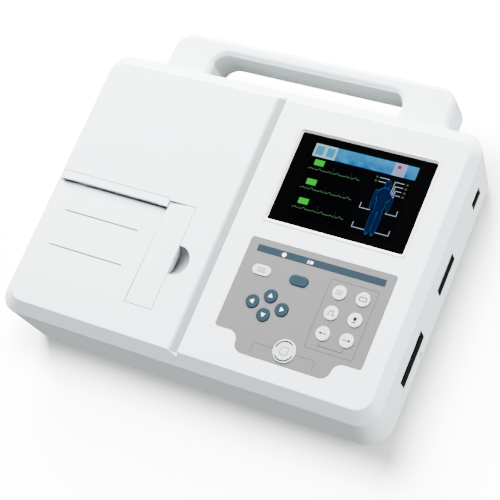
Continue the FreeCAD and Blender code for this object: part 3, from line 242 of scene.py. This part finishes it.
metalGrain = {
    "scratchScale": 900.0,
    "patchScale": 60.0,
    "patch": (0.9, 1.08),
    "scratchRoughness": 0.16,
    "patchRoughness": 0.08,
    "bumpDistance": 0.00006,
}


# drawn or rolled metal: long scratches along one axis, patchy gloss
def drawnMetal(name, colour, roughness, stretch, depth=0.08):
    finish = Finish(name)
    lines = finish.node("ShaderNodeMapping", None, {"Vector": finish.place(), "Scale": stretch}, "Vector")
    inputs = {"Vector": lines, "Scale": metalGrain["scratchScale"], "Detail": 4.0}
    scratches = finish.node("ShaderNodeTexNoise", None, inputs, "Fac")
    patches = finish.noise(metalGrain["patchScale"])
    roughness = roughness + metalGrain["scratchRoughness"] * (scratches - 0.5)
    roughness = roughness + metalGrain["patchRoughness"] * (patches - 0.5)
    tone = finish.tones(patches, colour, *metalGrain["patch"])
    finish.set(Base_Color=tone, Metallic=1.0, Roughness=roughness,
               Normal=finish.bump(scratches, depth, metalGrain["bumpDistance"]))
    return finish.material


rubberGrain = {
    "gritScale": 1400.0,
    "bloomScale": 70.0,
    "bloom": (0.8, 1.7),
    "roughness": (0.72, 0.14),  # middle, drift
    "bump": (0.2, 0.0001),
}


# rubber: ground surface with a pale bloom
def groundRubber(name, colour):
    finish = Finish(name)
    grit = finish.noise(rubberGrain["gritScale"], 3.0, 0.7)
    bloom = finish.noise(rubberGrain["bloomScale"])
    middle, drift = rubberGrain["roughness"]
    tone = finish.tones(bloom, colour, *rubberGrain["bloom"])
    finish.set(Base_Color=tone, Roughness=middle + drift * (grit - 0.5),
               Normal=finish.bump(grit, *rubberGrain["bump"]))
    return finish.material


boardMask = {
    "traceScale": 180.0,
    "traceGap": 0.09,
    "patchScale": 40.0,
    "dark": (0.012, 0.085, 0.04, 1),
    "light": (0.02, 0.13, 0.06, 1),
    "trace": (0.06, 0.22, 0.10, 1),
    "traceShare": 0.5,
    "roughness": (0.34, 0.1),  # least, drift
    "bump": (0.15, 0.00005),
}


# circuit board: solder mask with copper showing faintly through it
def solderMask(name):
    finish = Finish(name)
    inputs = {"Vector": finish.place(), "Scale": boardMask["traceScale"],
              "Mortar Size": boardMask["traceGap"], "Mortar": (0, 0, 0, 1),
              "Color1": (1, 1, 1, 1), "Color2": (1, 1, 1, 1)}
    traces = finish.node("ShaderNodeTexBrick", None, inputs, "Fac")
    patches = finish.noise(boardMask["patchScale"], 2.0)
    base = finish.blend(patches, boardMask["dark"], boardMask["light"])
    tone = finish.blend(traces * boardMask["traceShare"], base, boardMask["trace"])
    least, drift = boardMask["roughness"]
    finish.set(Base_Color=tone, Roughness=least + drift * patches,
               Normal=finish.bump(traces, *boardMask["bump"]))
    return finish.material


filmGrain = {
    "dotScale": 1600.0,
    "driftScale": 22.0,
    "drift": (0.975, 1.025),
    "roughnessDrift": 0.08,
    "bump": (0.12, 0.00004),
    "gloss": 0.04,
}


# printed film: matt texture of fine dots
def printedFilm(name, colour, roughness=0.5):
    finish = Finish(name)
    inputs = {"Vector": finish.place(), "Scale": filmGrain["dotScale"]}
    dots = finish.node("ShaderNodeTexVoronoi", None, inputs, "Distance")
    drift = finish.noise(filmGrain["driftScale"])
    tone = finish.tones(drift, colour, *filmGrain["drift"])
    finish.set(Base_Color=tone, Specular_IOR_Level=filmGrain["gloss"],
               Roughness=roughness + filmGrain["roughnessDrift"] * (drift - 0.5),
               Normal=finish.bump(dots, *filmGrain["bump"]))
    return finish.material


windowGloss = {
    "dustScale": 240.0,
    "clean": (0.0003, 0.0003, 0.0004, 1),
    "dusty": (0.0007, 0.0007, 0.0008, 1),
    "roughness": (0.05, 0.05),  # least, drift
    "gloss": 0.012,
}


# gloss window: near black, a trace of dust in the gloss
def glossWindow(name):
    finish = Finish(name)
    dust = finish.noise(windowGloss["dustScale"], 4.0, 0.6)
    least, drift = windowGloss["roughness"]
    finish.set(Base_Color=finish.blend(dust, windowGloss["clean"], windowGloss["dusty"]),
               Roughness=least + drift * dust, Specular_IOR_Level=windowGloss["gloss"])
    return finish.material


# floor: a lit white table, whose glow only the camera sees; a contact shadow is painted into that glow round
# the foot of the case
def paleFloor(name):
    finish = Finish(name)
    cloud = finish.noise(studio["floorCloudScale"], 2.0)
    least, drift = studio["floorRoughness"]
    outside = [(abs(finish.axis(letter) - middle) - half).highest(0.0)
               for letter, middle, half in zip("XY", studio["shadeMiddle"], studio["shadeHalf"])]
    apart = (outside[0] ** 2.0 + outside[1] ** 2.0) ** 0.5
    # painted shadow, deepest at the foot of the case and gone at shadeReach
    paintedShadow = (1.0 - apart / studio["shadeReach"]).highest(0.0)
    paintedShadow = paintedShadow * paintedShadow * (3.0 - 2.0 * paintedShadow) * studio["shadeDepth"]
    finish.set(Base_Color=finish.tones(cloud, (studio["floorGrey"],) * 3, *studio["floorCloud"]),
               Roughness=least + drift * cloud, Emission_Strength=studio["floorGlow"],
               Emission_Color=finish.blend(paintedShadow, (1.0, 1.0, 1.0, 1.0), (0.0, 0.0, 0.0, 1.0)))
    return finish.material


# picture on the screen, in millimetres from its lower left corner; an area is x0, x1, y0, y1
screenPicture = {
    "corner": (38.8, -0.8),
    "size": (85.1, 63.0),
    "round": 0.2,
    "lift": 0.03,
    "glow": 1.15,
    "roughness": (0.06, 0.05),  # least, drift
    "driftScale": 90.0,
    "labels": [(4.2, 12.4, 44.6, 49.4), (4.2, 12.4, 28.4, 33.2), (4.2, 12.4, 12.1, 16.9)],
    "traces": [41.2, 24.9, 8.4],  # base lines
    "traceEnds": (1.0, 44.0),
    "traceStep": 15.0,
    "traceHalf": 0.34,
    # waves of one beat: centre and width as parts of the step, height
    "beat": [(0.22, 0.05, 0.9), (0.42, 0.018, 4.4), (0.70, 0.07, 1.3)],
    # ellipses of the figure: x, y, half width, half height
    "figure": [(66.9, 43.8, 2.7, 3.4), (66.9, 34.6, 6.4, 6.6), (66.9, 26.4, 4.4, 6.4), (60.2, 30.0, 1.5, 8.8),
               (73.6, 30.0, 1.5, 8.8), (64.7, 13.2, 2.4, 12.0), (69.1, 13.2, 2.4, 12.0)],
    "figureFill": (1.6, 0.9),  # gain, limit
    "figureEdge": (0.16, 0.14, 0.9),  # level, half width, strength
    "figureEdgeScale": 600.0,
    "lines": [(52.0, 61.0, 20.8, 21.3), (52.0, 52.5, 21.3, 25.2), (73.0, 82.0, 20.8, 21.3),
              (81.5, 82.0, 21.3, 25.2), (52.0, 62.5, 4.8, 5.3), (52.0, 52.5, 5.3, 9.2),
              (71.3, 82.0, 4.8, 5.3), (81.5, 82.0, 5.3, 9.2), (58.5, 66.5, 47.4, 47.9),
              (58.5, 64.5, 44.2, 44.7),
              (71.0, 78.8, 46.6, 47.1), (72.4, 78.8, 43.2, 43.7), (73.8, 78.8, 39.8, 40.3),
              (75.2, 78.8, 36.4, 36.9), (71.0, 71.5, 37.0, 47.1), (72.4, 72.9, 35.6, 43.7),
              (73.8, 74.3, 34.2, 40.3)],
    "marks": [(80.4, 82.0, 46.0, 47.4), (80.4, 82.0, 42.6, 44.0), (80.4, 82.0, 39.2, 40.6),
              (80.4, 82.0, 35.8, 37.2), (55.6, 57.0, 47.0, 48.4), (55.6, 57.0, 43.8, 45.2)],
    # title bar, its white panel with two small signs, and a tinted field with a dot
    "bar": (0.0, 85.1, 51.6, 62.2),
    "barPanel": (0.0, 18.5, 51.6, 62.2),
    "barSigns": [(1.5, 8.0, 53.2, 60.6), (10.5, 16.8, 53.2, 60.6)],
    "barField": (66.0, 76.0, 51.6, 62.2),
    "barDot": (68.6, 71.6, 57.6, 60.2),
    "barCloud": (140.0, 1.6, 0.5),  # scale, gain, offset
    # how far each covers what lies under it
    "cover": {"marks": 0.7, "lines": 0.85, "barPanel": 0.8, "barField": 0.55},
}
screenColours = {
    "black": (0.0001, 0.00012, 0.0002, 1),
    "blackDrift": (0.0002, 0.00025, 0.0005, 1),
    "glass": (0.0003, 0.0003, 0.0004, 1),
    "figure": (0.001, 0.010, 0.065, 1),
    "figureEdge": (0.02, 0.24, 0.70, 1),
    "trace": (0.05, 0.15, 0.055, 1),
    "label": (0.008, 0.62, 0.035, 1),
    "mark": (0.10, 0.20, 0.05, 1),
    "line": (0.50, 0.62, 0.80, 1),
    "barLow": (0.003, 0.06, 0.40, 1),
    "barHigh": (0.015, 0.30, 0.66, 1),
    "barCloud": (0.06, 0.42, 0.72, 1),
    "barPanel": (0.55, 0.80, 0.90, 1),
    "barSign": (0.03, 0.36, 0.62, 1),
    "barField": (0.62, 0.58, 0.86, 1),
    "barDot": (0.42, 0.03, 0.10, 1),
}


def screenGlow(name):
    picture, colours = screenPicture, screenColours
    cover = picture["cover"]
    finish = Finish(name)
    across = finish.axis("X") / millimetre - picture["corner"][0]
    up = finish.axis("Y") / millimetre - picture["corner"][1]

    def area(x0, x1, y0, y1):
        return (across > x0) * (across < x1) * (up > y0) * (up < y1)

    def union(areas):
        whole = area(*areas[0])
        for one in areas[1:]:
            whole = whole.highest(area(*one))
        return whole

    def pulse(step, centre, width, height):
        return height * (math.e ** (-1.0 * ((step - centre) / width) ** 2.0))

    drift = finish.noise(picture["driftScale"], 2.0)
    colour = finish.blend(drift, colours["black"], colours["blackDrift"])
    # figure: dark blue with a bright edge
    body = None
    for x, y, halfWidth, halfHeight in picture["figure"]:
        inside = 1.0 - ((across - x) / halfWidth) ** 2.0 - ((up - y) / halfHeight) ** 2.0
        inside = inside.highest(0.0)
        body = inside if body is None else body.highest(inside)
    gain, limit = picture["figureFill"]
    colour = finish.blend((body * gain).lowest(limit), colour, colours["figure"])
    level, half, strength = picture["figureEdge"]
    edge = (1.0 - abs(body - level) / half).highest(0.0)
    edge = edge * strength * finish.noise(picture["figureEdgeScale"], 2.0)
    colour = finish.blend(edge, colour, colours["figureEdge"])
    # green traces over one repeated beat
    beat = across / picture["traceStep"]
    beat = beat - finish.node("ShaderNodeMath", {"operation": "FLOOR"}, {0: beat})
    wave = 0.0
    for centre, width, height in picture["beat"]:
        wave = wave + pulse(beat, centre, width, height)
    first, last = picture["traceEnds"]
    for base in picture["traces"]:
        line = (abs(up - base - wave) < picture["traceHalf"]) * (across > first) * (across < last)
        colour = finish.blend(line, colour, colours["trace"])
    colour = finish.blend(union(picture["labels"]), colour, colours["label"])
    colour = finish.blend(union(picture["marks"]) * cover["marks"], colour, colours["mark"])
    colour = finish.blend(union(picture["lines"]) * cover["lines"], colour, colours["line"])
    # title bar: dark blue below, cyan above, cloudy
    low, high = picture["bar"][2:]
    rise = ((up - low) / (high - low)).clamped()
    blue = finish.blend(rise, colours["barLow"], colours["barHigh"])
    scale, gain, offset = picture["barCloud"]
    cloud = (finish.noise(scale) * gain - offset).clamped()
    blue = finish.blend(cloud, blue, colours["barCloud"])
    blue = finish.blend(area(*picture["barPanel"]) * cover["barPanel"], blue, colours["barPanel"])
    blue = finish.blend(union(picture["barSigns"]), blue, colours["barSign"])
    blue = finish.blend(area(*picture["barField"]) * cover["barField"], blue, colours["barField"])
    blue = finish.blend(area(*picture["barDot"]), blue, colours["barDot"])
    colour = finish.blend(area(*picture["bar"]), colour, blue)
    dust = finish.noise(windowGloss["dustScale"], 4.0, 0.6)
    least, spread = picture["roughness"]
    finish.set(Base_Color=colours["glass"], Emission_Color=colour, Emission_Strength=picture["glow"],
               Roughness=least + spread * dust, Specular_IOR_Level=windowGloss["gloss"])
    return finish.material


# zones of painted shade, a darker tone where recesses, grooves and gaps fall in shade, with low and high of
# each axis in millimetres
def darkZone(colour, x, y, z, edge=0.05):
    return {"colour": colour, "edge": edge, "box": [(low, high, edge) for low, high in (x, y, z)]}


# tones of the painted shade in each zone
zoneTones = {
    "groove": (0.24, 0.26, 0.27),
    "notch": (0.15, 0.165, 0.16),
    "grip": (0.20, 0.215, 0.205),
    "line": (0.20, 0.215, 0.22),
    "gap": (0.05, 0.055, 0.055),
    "sill": (0.02, 0.021, 0.021),
}
# painted shade in the shallow groove across the deck
grooveZone = {
    "colour": zoneTones["groove"],
    "edge": 0.2,
    "box": [(-8.0, 1.35, 3.0), (-126.4, 89.9, 0.2), (60.8, 64.2, 0.2)],  # soft to the left
}
# painted shade in the finger notch's scoop by the door
notchZone = darkZone(zoneTones["notch"], (-34.0, -18.0), (-72.0, -45.0), (54.0, 63.6), 0.3)
# painted shade on the inner faces of the handle's opening
gripZone = darkZone(zoneTones["grip"], (-84.2, 84.2), (90.0, 124.6), (10.0, 44.5), 0.3)
# painted shade in the bottoms of the door's step and fine lines, and in the seam behind the tear bar
lineDepth = (56.0, 64.2)
lineZones = [darkZone(zoneTones[tone], x, y, lineDepth) for tone, x, y in (
    ("gap", (-58.35, -57.35), (-100.9, -19.5)),
    ("gap", (-58.35, -33.0), (-101.8, -100.8)),
    ("line", (-142.3, -73.7), (-45.05, -43.75)),
    ("line", (-142.3, -73.7), (-75.55, -74.25)),
)]
tearZone = darkZone(zoneTones["line"], (-162.0, -58.0), (-13.0, -12.3), (60.0, 64.2))
# painted shade on the wall of the cover that faces the door's edge
gapZone = darkZone(zoneTones["gap"], (-33.9, -33.2), (-102.0, -17.0), (40.0, 63.9))
# painted shade on the sills of the sockets' openings in the right wall
sillReach = (138.0, 166.0)
sillZones = [darkZone(zoneTones["sill"], sillReach, y, z) for y, z in (
    ((-17.6, 13.6), (22.9, 35.8)),
    ((-91.5, -49.8), (23.1, 38.1)),
    ((53.7, 69.2), (23.1, 34.5)),
)]

white = (0.71, 0.78, 0.825)
plastics = {
    # colour, roughness, gloss, zones
    "tearWhite": (white, 0.36, 0.5, [tearZone]),
    "coverWhite": (white, 0.36, 0.5, [grooveZone, notchZone, gapZone]),
    "handleWhite": (white, 0.36, 0.5, [gripZone]),
    # painted light: the tub's white is paler than the cover's, standing in for light bounced up from the
    # floor
    "tubWhite": ((0.75, 0.835, 0.855), 0.46, 0.5, sillZones),
    "doorWhite": ((0.70, 0.775, 0.815), 0.38, 0.5, lineZones),
    "bezelWhite": ((0.82, 0.84, 0.855), 0.28),
    "bayGrey": ((0.50, 0.52, 0.53), 0.5),
    "screenFrame": ((0.04, 0.04, 0.045), 0.5),
    "keyWhite": ((0.47, 0.495, 0.505), 0.40, 0.15),
    "keyBlue": ((0.0095, 0.0225, 0.0325), 0.40, 0.06),
    "socketShell": ((0.008, 0.008, 0.009), 0.5, 0.1),
    "socketBlack": ((0.004, 0.004, 0.005), 0.5, 0.05),
    "gearPlastic": ((0.70, 0.67, 0.58), 0.42),
    "partBlack": ((0.022, 0.022, 0.025), 0.46),
    "headCeramic": ((0.17, 0.10, 0.05), 0.18),
    "batteryBlue": ((0.03, 0.08, 0.24), 0.32),
}
metals = {
    # colour, roughness, stretch of the scratches, depth
    "steel": ((0.60, 0.61, 0.63), 0.28, (0.05, 1.0, 1.0)),
    "sheetSteel": ((0.55, 0.56, 0.56), 0.38, (1.0, 0.08, 1.0)),
    "platedShell": ((0.36, 0.36, 0.35), 0.24, (1.0, 0.2, 1.0), 0.03),
    "bushBrass": ((0.66, 0.47, 0.20), 0.32, (1.0, 1.0, 1.0)),
    "heatsink": ((0.68, 0.69, 0.70), 0.36, (0.06, 1.0, 1.0)),
}
films = {
    # colour, roughness
    "overlayGrey": ((0.104, 0.107, 0.104),),
    "stripTeal": ((0.0100, 0.0195, 0.028),),
    "printWhite": ((0.78, 0.80, 0.80), 0.42),
    "printGrey": ((0.045, 0.048, 0.05),),
    "printDark": ((0.010, 0.012, 0.014),),
}
rubbers = {
    "rubberBlack": ((0.022, 0.022, 0.024),),
    "rubberGrey": ((0.17, 0.17, 0.175),),
}
singles = {"windowBlack": glossWindow, "screenGlow": screenGlow, "boardGreen": solderMask}

looks = {}
makers = ((mouldedPlastic, plastics), (drawnMetal, metals), (printedFilm, films), (groundRubber, rubbers))
for maker, finishes in makers:
    for name, settings in finishes.items():
        looks[name] = maker(name, *settings)
for name, maker in singles.items():
    looks[name] = maker(name)
print("finishes made:", len(looks))

# which finish each node wears
nodeLooks = {
    "tearWhite": ["tear_bar"],
    "coverWhite": ["top_cover"],
    "handleWhite": ["carry_handle"],
    "tubWhite": ["bottom_case", "battery_lid"],
    "doorWhite": ["paper_door"],
    "bezelWhite": ["screen_bezel"],
    "bayGrey": ["paper_bay", "battery_tray"],
    "screenFrame": ["screen_module"],
    "windowBlack": ["screen_window"],
    "overlayGrey": ["keypad_overlay"],
    "keyWhite": ["key_menu", "key_start", "key_row1_left", "key_row1_right", "key_row2_left",
                 "key_row2_right", "key_row3_left", "key_row3_right"],
    "keyBlue": ["key_mode", "key_up", "key_left", "key_down", "key_right"],
    "steel": ["platen_shaft", "motor_spindle", "idler_axle", "hinge_pins", "head_springs", "board_screws",
              "case_screws", "handle_screws", "key_domes"],
    "sheetSteel": ["printer_chassis", "feed_motor"],
    "platedShell": ["inlet_blades", "ground_stud"],
    "socketShell": ["serial_socket", "patient_socket", "network_socket"],
    "socketBlack": ["serial_socket_insert", "patient_socket_insert"],
    "rubberBlack": ["rubber_feet"],
    "rubberGrey": ["platen_sleeve"],
    "gearPlastic": ["platen_gear", "idler_gear", "motor_pinion"],
    "bushBrass": ["platen_bushes"],
    "boardGreen": ["keypad_board", "main_board", "supply_board"],
    "partBlack": ["main_board_parts", "supply_parts", "mains_inlet", "speaker"],
    "heatsink": ["head_heatsink"],
    "headCeramic": ["print_head"],
    "batteryBlue": ["battery_pack"],
}


def dressNodes():
    for look, names in nodeLooks.items():
        for name in names:
            for slot in nodes[name].material_slots:
                slot.material = looks[look]


# flat printed shapes are thin closed solids that lie on what carries them
printShape = {
    "panelSegments": 4,
    "frameSegments": 6,
    "triangleRound": 0.25,
    "triangleSegments": 3,
    "arcSteps": 24,
}


def startShape(adder, **sizes):
    clearSelection()
    adder(**sizes)
    bpy.ops.object.mode_set(mode="EDIT")
    bpy.ops.mesh.select_all(action="SELECT")


def roundCorners(offset, segments):
    bpy.ops.mesh.bevel(offset=offset * millimetre, segments=segments, affect="VERTICES")


def raiseShape(name, x, y, z, rise, look, body, turn=0.0):
    bpy.ops.mesh.select_all(action="SELECT")
    bpy.ops.mesh.extrude_region_move(TRANSFORM_OT_translate={"value": (0.0, 0.0, rise * millimetre)})
    bpy.ops.mesh.select_all(action="SELECT")
    bpy.ops.mesh.normals_make_consistent(inside=False)
    bpy.ops.object.mode_set(mode="OBJECT")
    piece = bpy.context.object
    piece.name = name
    piece.rotation_euler = (0.0, 0.0, math.radians(turn))
    piece.location = (x * millimetre, y * millimetre, z * millimetre)
    bpy.ops.object.transform_apply(location=True, rotation=True, scale=True)
    piece.data.materials.clear()
    piece.data.materials.append(looks[look])
    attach(piece, body)


def printPanel(name, x, y, z, width, depth, look, body, corner=0.1, rise=0.04):
    startShape(bpy.ops.mesh.primitive_plane_add, size=1.0)
    bpy.ops.transform.resize(value=(width * millimetre, depth * millimetre, 1.0))
    roundCorners(corner, printShape["panelSegments"])
    raiseShape(name, x, y, z, rise, look, body)


def printFrame(name, x, y, z, width, depth, line, look, body, corner, rise=0.04):
    startShape(bpy.ops.mesh.primitive_plane_add, size=1.0)
    bpy.ops.transform.resize(value=(width * millimetre, depth * millimetre, 1.0))
    roundCorners(corner, printShape["frameSegments"])
    bpy.ops.mesh.inset(thickness=line * millimetre)
    bpy.ops.mesh.delete(type="FACE")
    raiseShape(name, x, y, z, rise, look, body)


def printDisc(name, x, y, z, radius, look, body, sides=48, rise=0.04, turn=0.0):
    adder = bpy.ops.mesh.primitive_circle_add
    startShape(adder, vertices=sides, radius=radius * millimetre, fill_type="NGON")
    if sides == 3:
        roundCorners(printShape["triangleRound"], printShape["triangleSegments"])
    raiseShape(name, x, y, z, rise, look, body, turn)


def printArc(name, x, y, z, radius, line, start, sweep, look, body, rise):
    startShape(bpy.ops.mesh.primitive_plane_add, size=1.0)
    bpy.ops.mesh.delete(type="ONLY_FACE")
    bpy.ops.mesh.select_all(action="SELECT")
    bpy.ops.mesh.merge(type="CENTER")
    bpy.ops.mesh.select_all(action="SELECT")
    bpy.ops.transform.translate(value=((radius - line / 2) * millimetre, 0.0, 0.0))
    bpy.ops.mesh.extrude_region_move(TRANSFORM_OT_translate={"value": (line * millimetre, 0.0, 0.0)})
    bpy.ops.mesh.select_all(action="SELECT")
    turned = math.radians(sweep)
    bpy.ops.mesh.spin(steps=printShape["arcSteps"], angle=turned, center=(0, 0, 0), axis=(0, 0, 1))
    raiseShape(name, x, y, z, rise, look, body, start)


keypadPrint = {
    "level": 64.0,  # top of the overlay
    "strip": (81.05, -31.2, 105.5, 5.6),  # x, y, width, depth
    "stripCorner": 0.4,
    "stripLift": 0.02,  # signs on the strip stand a little higher than its film
    "stripInk": 0.05,
    "stripDot": (50.9, -31.4, 1.7),
    "stripSignBody": (73.7, -31.5, 2.6, 2.2, 0.2),
    "stripSignPin": (71.0, -31.5, 0.7, 2.6, 0.1),
    "frame": (112.5, -65.95, 38.8, 54.7, 0.45),
    "frameCorner": 1.2,
    "startLines": [(63.6, -101.0, 16.4, 0.4), (97.7, -101.0, 16.4, 0.4), (55.5, -104.6, 0.4, 7.4),
                   (105.8, -104.6, 0.4, 7.4)],
    "linkLines": [(112.6, -89.6, 19.4, 0.4), (103.0, -88.6, 0.4, 2.2), (122.2, -88.6, 0.4, 2.2)],
}


def printKeypad():
    level, ink = keypadPrint["level"], keypadPrint["stripInk"]
    raised = level + keypadPrint["stripLift"]
    x, y, width, depth = keypadPrint["strip"]
    printPanel("stripTeal", x, y, level, width, depth, "stripTeal", "case", keypadPrint["stripCorner"])
    x, y, radius = keypadPrint["stripDot"]
    printDisc("stripDot", x, y, raised, radius, "printWhite", "case", rise=ink)
    for name in ("stripSignBody", "stripSignPin"):
        x, y, width, depth, corner = keypadPrint[name]
        printPanel(name, x, y, raised, width, depth, "printWhite", "case", corner, ink)
    x, y, width, depth, line = keypadPrint["frame"]
    printFrame("keyFrame", x, y, level, width, depth, line, "printGrey", "case", keypadPrint["frameCorner"])
    for index, (x, y, width, depth) in enumerate(keypadPrint["startLines"]):
        printPanel("startLine%d" % index, x, y, level, width, depth, "printGrey", "case")
    for index, (x, y, width, depth) in enumerate(keypadPrint["linkLines"]):
        printPanel("linkLine%d" % index, x, y, level, width, depth, "printDark", "case")


keySigns = {
    "ink": 0.03,
    # triangles: key, turn
    "triangle": 2.1,
    "triangles": [("key_up", 0), ("key_left", 90), ("key_down", 180), ("key_right", -90)],
    # arrows: key, side that they point to
    "arrows": [("key_row3_left", -1), ("key_row3_right", 1)],
    "arrowBar": (0.6, 4.8, 0.75),  # shift, length, width
    "arrowTip": (1.9, 1.5, 0.035),  # shift, radius, thickness
    # panels: name, key, place from the key's middle, width, depth, finish, thickness over the ink
    "panels": [
        ("copySign0", "key_row1_left", (0.0, -1.4), 5.4, 0.65, "printGrey", 0.0),
        ("copySign1", "key_row1_left", (0.0, 0.0), 5.4, 0.65, "printGrey", 0.0),
        ("copySign2", "key_row1_left", (0.0, 1.4), 5.4, 0.65, "printGrey", 0.0),
        ("pulseSign0", "key_row2_left", (-2.3, -1.6), 1.8, 0.7, "printDark", 0.0),
        ("pulseSign1", "key_row2_left", (-1.5, 0.0), 0.7, 3.8, "printDark", 0.002),
        ("pulseSign2", "key_row2_left", (0.0, 1.6), 3.6, 0.7, "printDark", 0.004),
        ("pulseSign3", "key_row2_left", (1.5, 0.0), 0.7, 3.8, "printDark", 0.006),
        ("pulseSign4", "key_row2_left", (2.3, -1.6), 1.8, 0.7, "printDark", 0.008),
        ("leadSignStem", "key_row2_right", (0.0, -1.2), 0.8, 2.6, "printDark", 0.004),
        ("leadSignFoot", "key_row2_right", (0.0, -2.2), 3.4, 0.7, "printDark", 0.008),
        ("menuSign0", "key_menu", (0.0, -1.5), 7.0, 0.65, "printGrey", 0.0),
        ("menuSign1", "key_menu", (0.0, 0.0), 7.0, 0.65, "printGrey", 0.0),
        ("menuSign2", "key_menu", (0.0, 1.5), 7.0, 0.65, "printGrey", 0.0),
    ],
    # frames: name, key, width, depth, line, finish, corner
    "frames": [
        ("pageSign", "key_row1_right", 6.4, 3.6, 0.75, "printDark", 0.9),
        ("modeSign", "key_mode", 7.4, 3.0, 0.4, "stripTeal", 1.2),
        ("startSign", "key_start", 6.6, 6.6, 0.6, "printGrey", 2.2),
    ],
    "leadDisc": (0.7, 1.5, 24),  # shift to the rear, radius, sides
    "ring": (7.4, 1.1),  # radius, line
    "arcs": [("startArcRear", -12, 130), ("startArcFront", 172, 120)],  # name, start, sweep
}


# middle of a key's top face, in millimetres
def keyTop(name):
    low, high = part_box(name)
    return [(low[0] + high[0]) / 2 / millimetre, (low[1] + high[1]) / 2 / millimetre, high[2] / millimetre]


def printKeys():
    ink = keySigns["ink"]
    for key, turn in keySigns["triangles"]:
        x, y, z = keyTop(key)
        printDisc(key + "_sign", x, y, z, keySigns["triangle"], "printWhite", key, 3, ink, turn)
    for key, side in keySigns["arrows"]:
        x, y, z = keyTop(key)
        shift, width, depth = keySigns["arrowBar"]
        printPanel(key + "_bar", x - side * shift, y, z, width, depth, "printDark", key, rise=ink)
        shift, radius, rise = keySigns["arrowTip"]
        printDisc(key + "_tip", x + side * shift, y, z, radius, "printDark", key, 3, rise, -90 * side)
    for name, key, (right, rear), width, depth, look, over in keySigns["panels"]:
        x, y, z = keyTop(key)
        printPanel(name, x + right, y + rear, z, width, depth, look, key, rise=ink + over)
    for name, key, width, depth, line, look, corner in keySigns["frames"]:
        x, y, z = keyTop(key)
        printFrame(name, x, y, z, width, depth, line, look, key, corner, ink)
    x, y, z = keyTop("key_row2_right")
    rear, radius, sides = keySigns["leadDisc"]
    printDisc("leadSign", x, y + rear, z, radius, "printDark", "key_row2_right", sides, ink)
    x, y, z = keyTop("key_start")
    radius, line = keySigns["ring"]
    for name, start, sweep in keySigns["arcs"]:
        printArc(name, x, y, z, radius, line, start, sweep, "printDark", "key_start", ink)


def lightScreen():
    picture = screenPicture
    width, depth = picture["size"]
    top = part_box("screen_window")[1][2] / millimetre
    x, y = picture["corner"][0] + width / 2, picture["corner"][1] + depth / 2
    printPanel("screenPicture", x, y, top, width, depth, "screenGlow", "case", picture["round"],
               picture["lift"])


floor = setStudio()
floor.data.materials.append(paleFloor("paleFloor"))
floor.visible_diffuse = False
floor.visible_glossy = False
dressNodes()
print("nodes dressed")
lightScreen()
printKeypad()
printKeys()
print("prints laid on keys, overlay and screen")
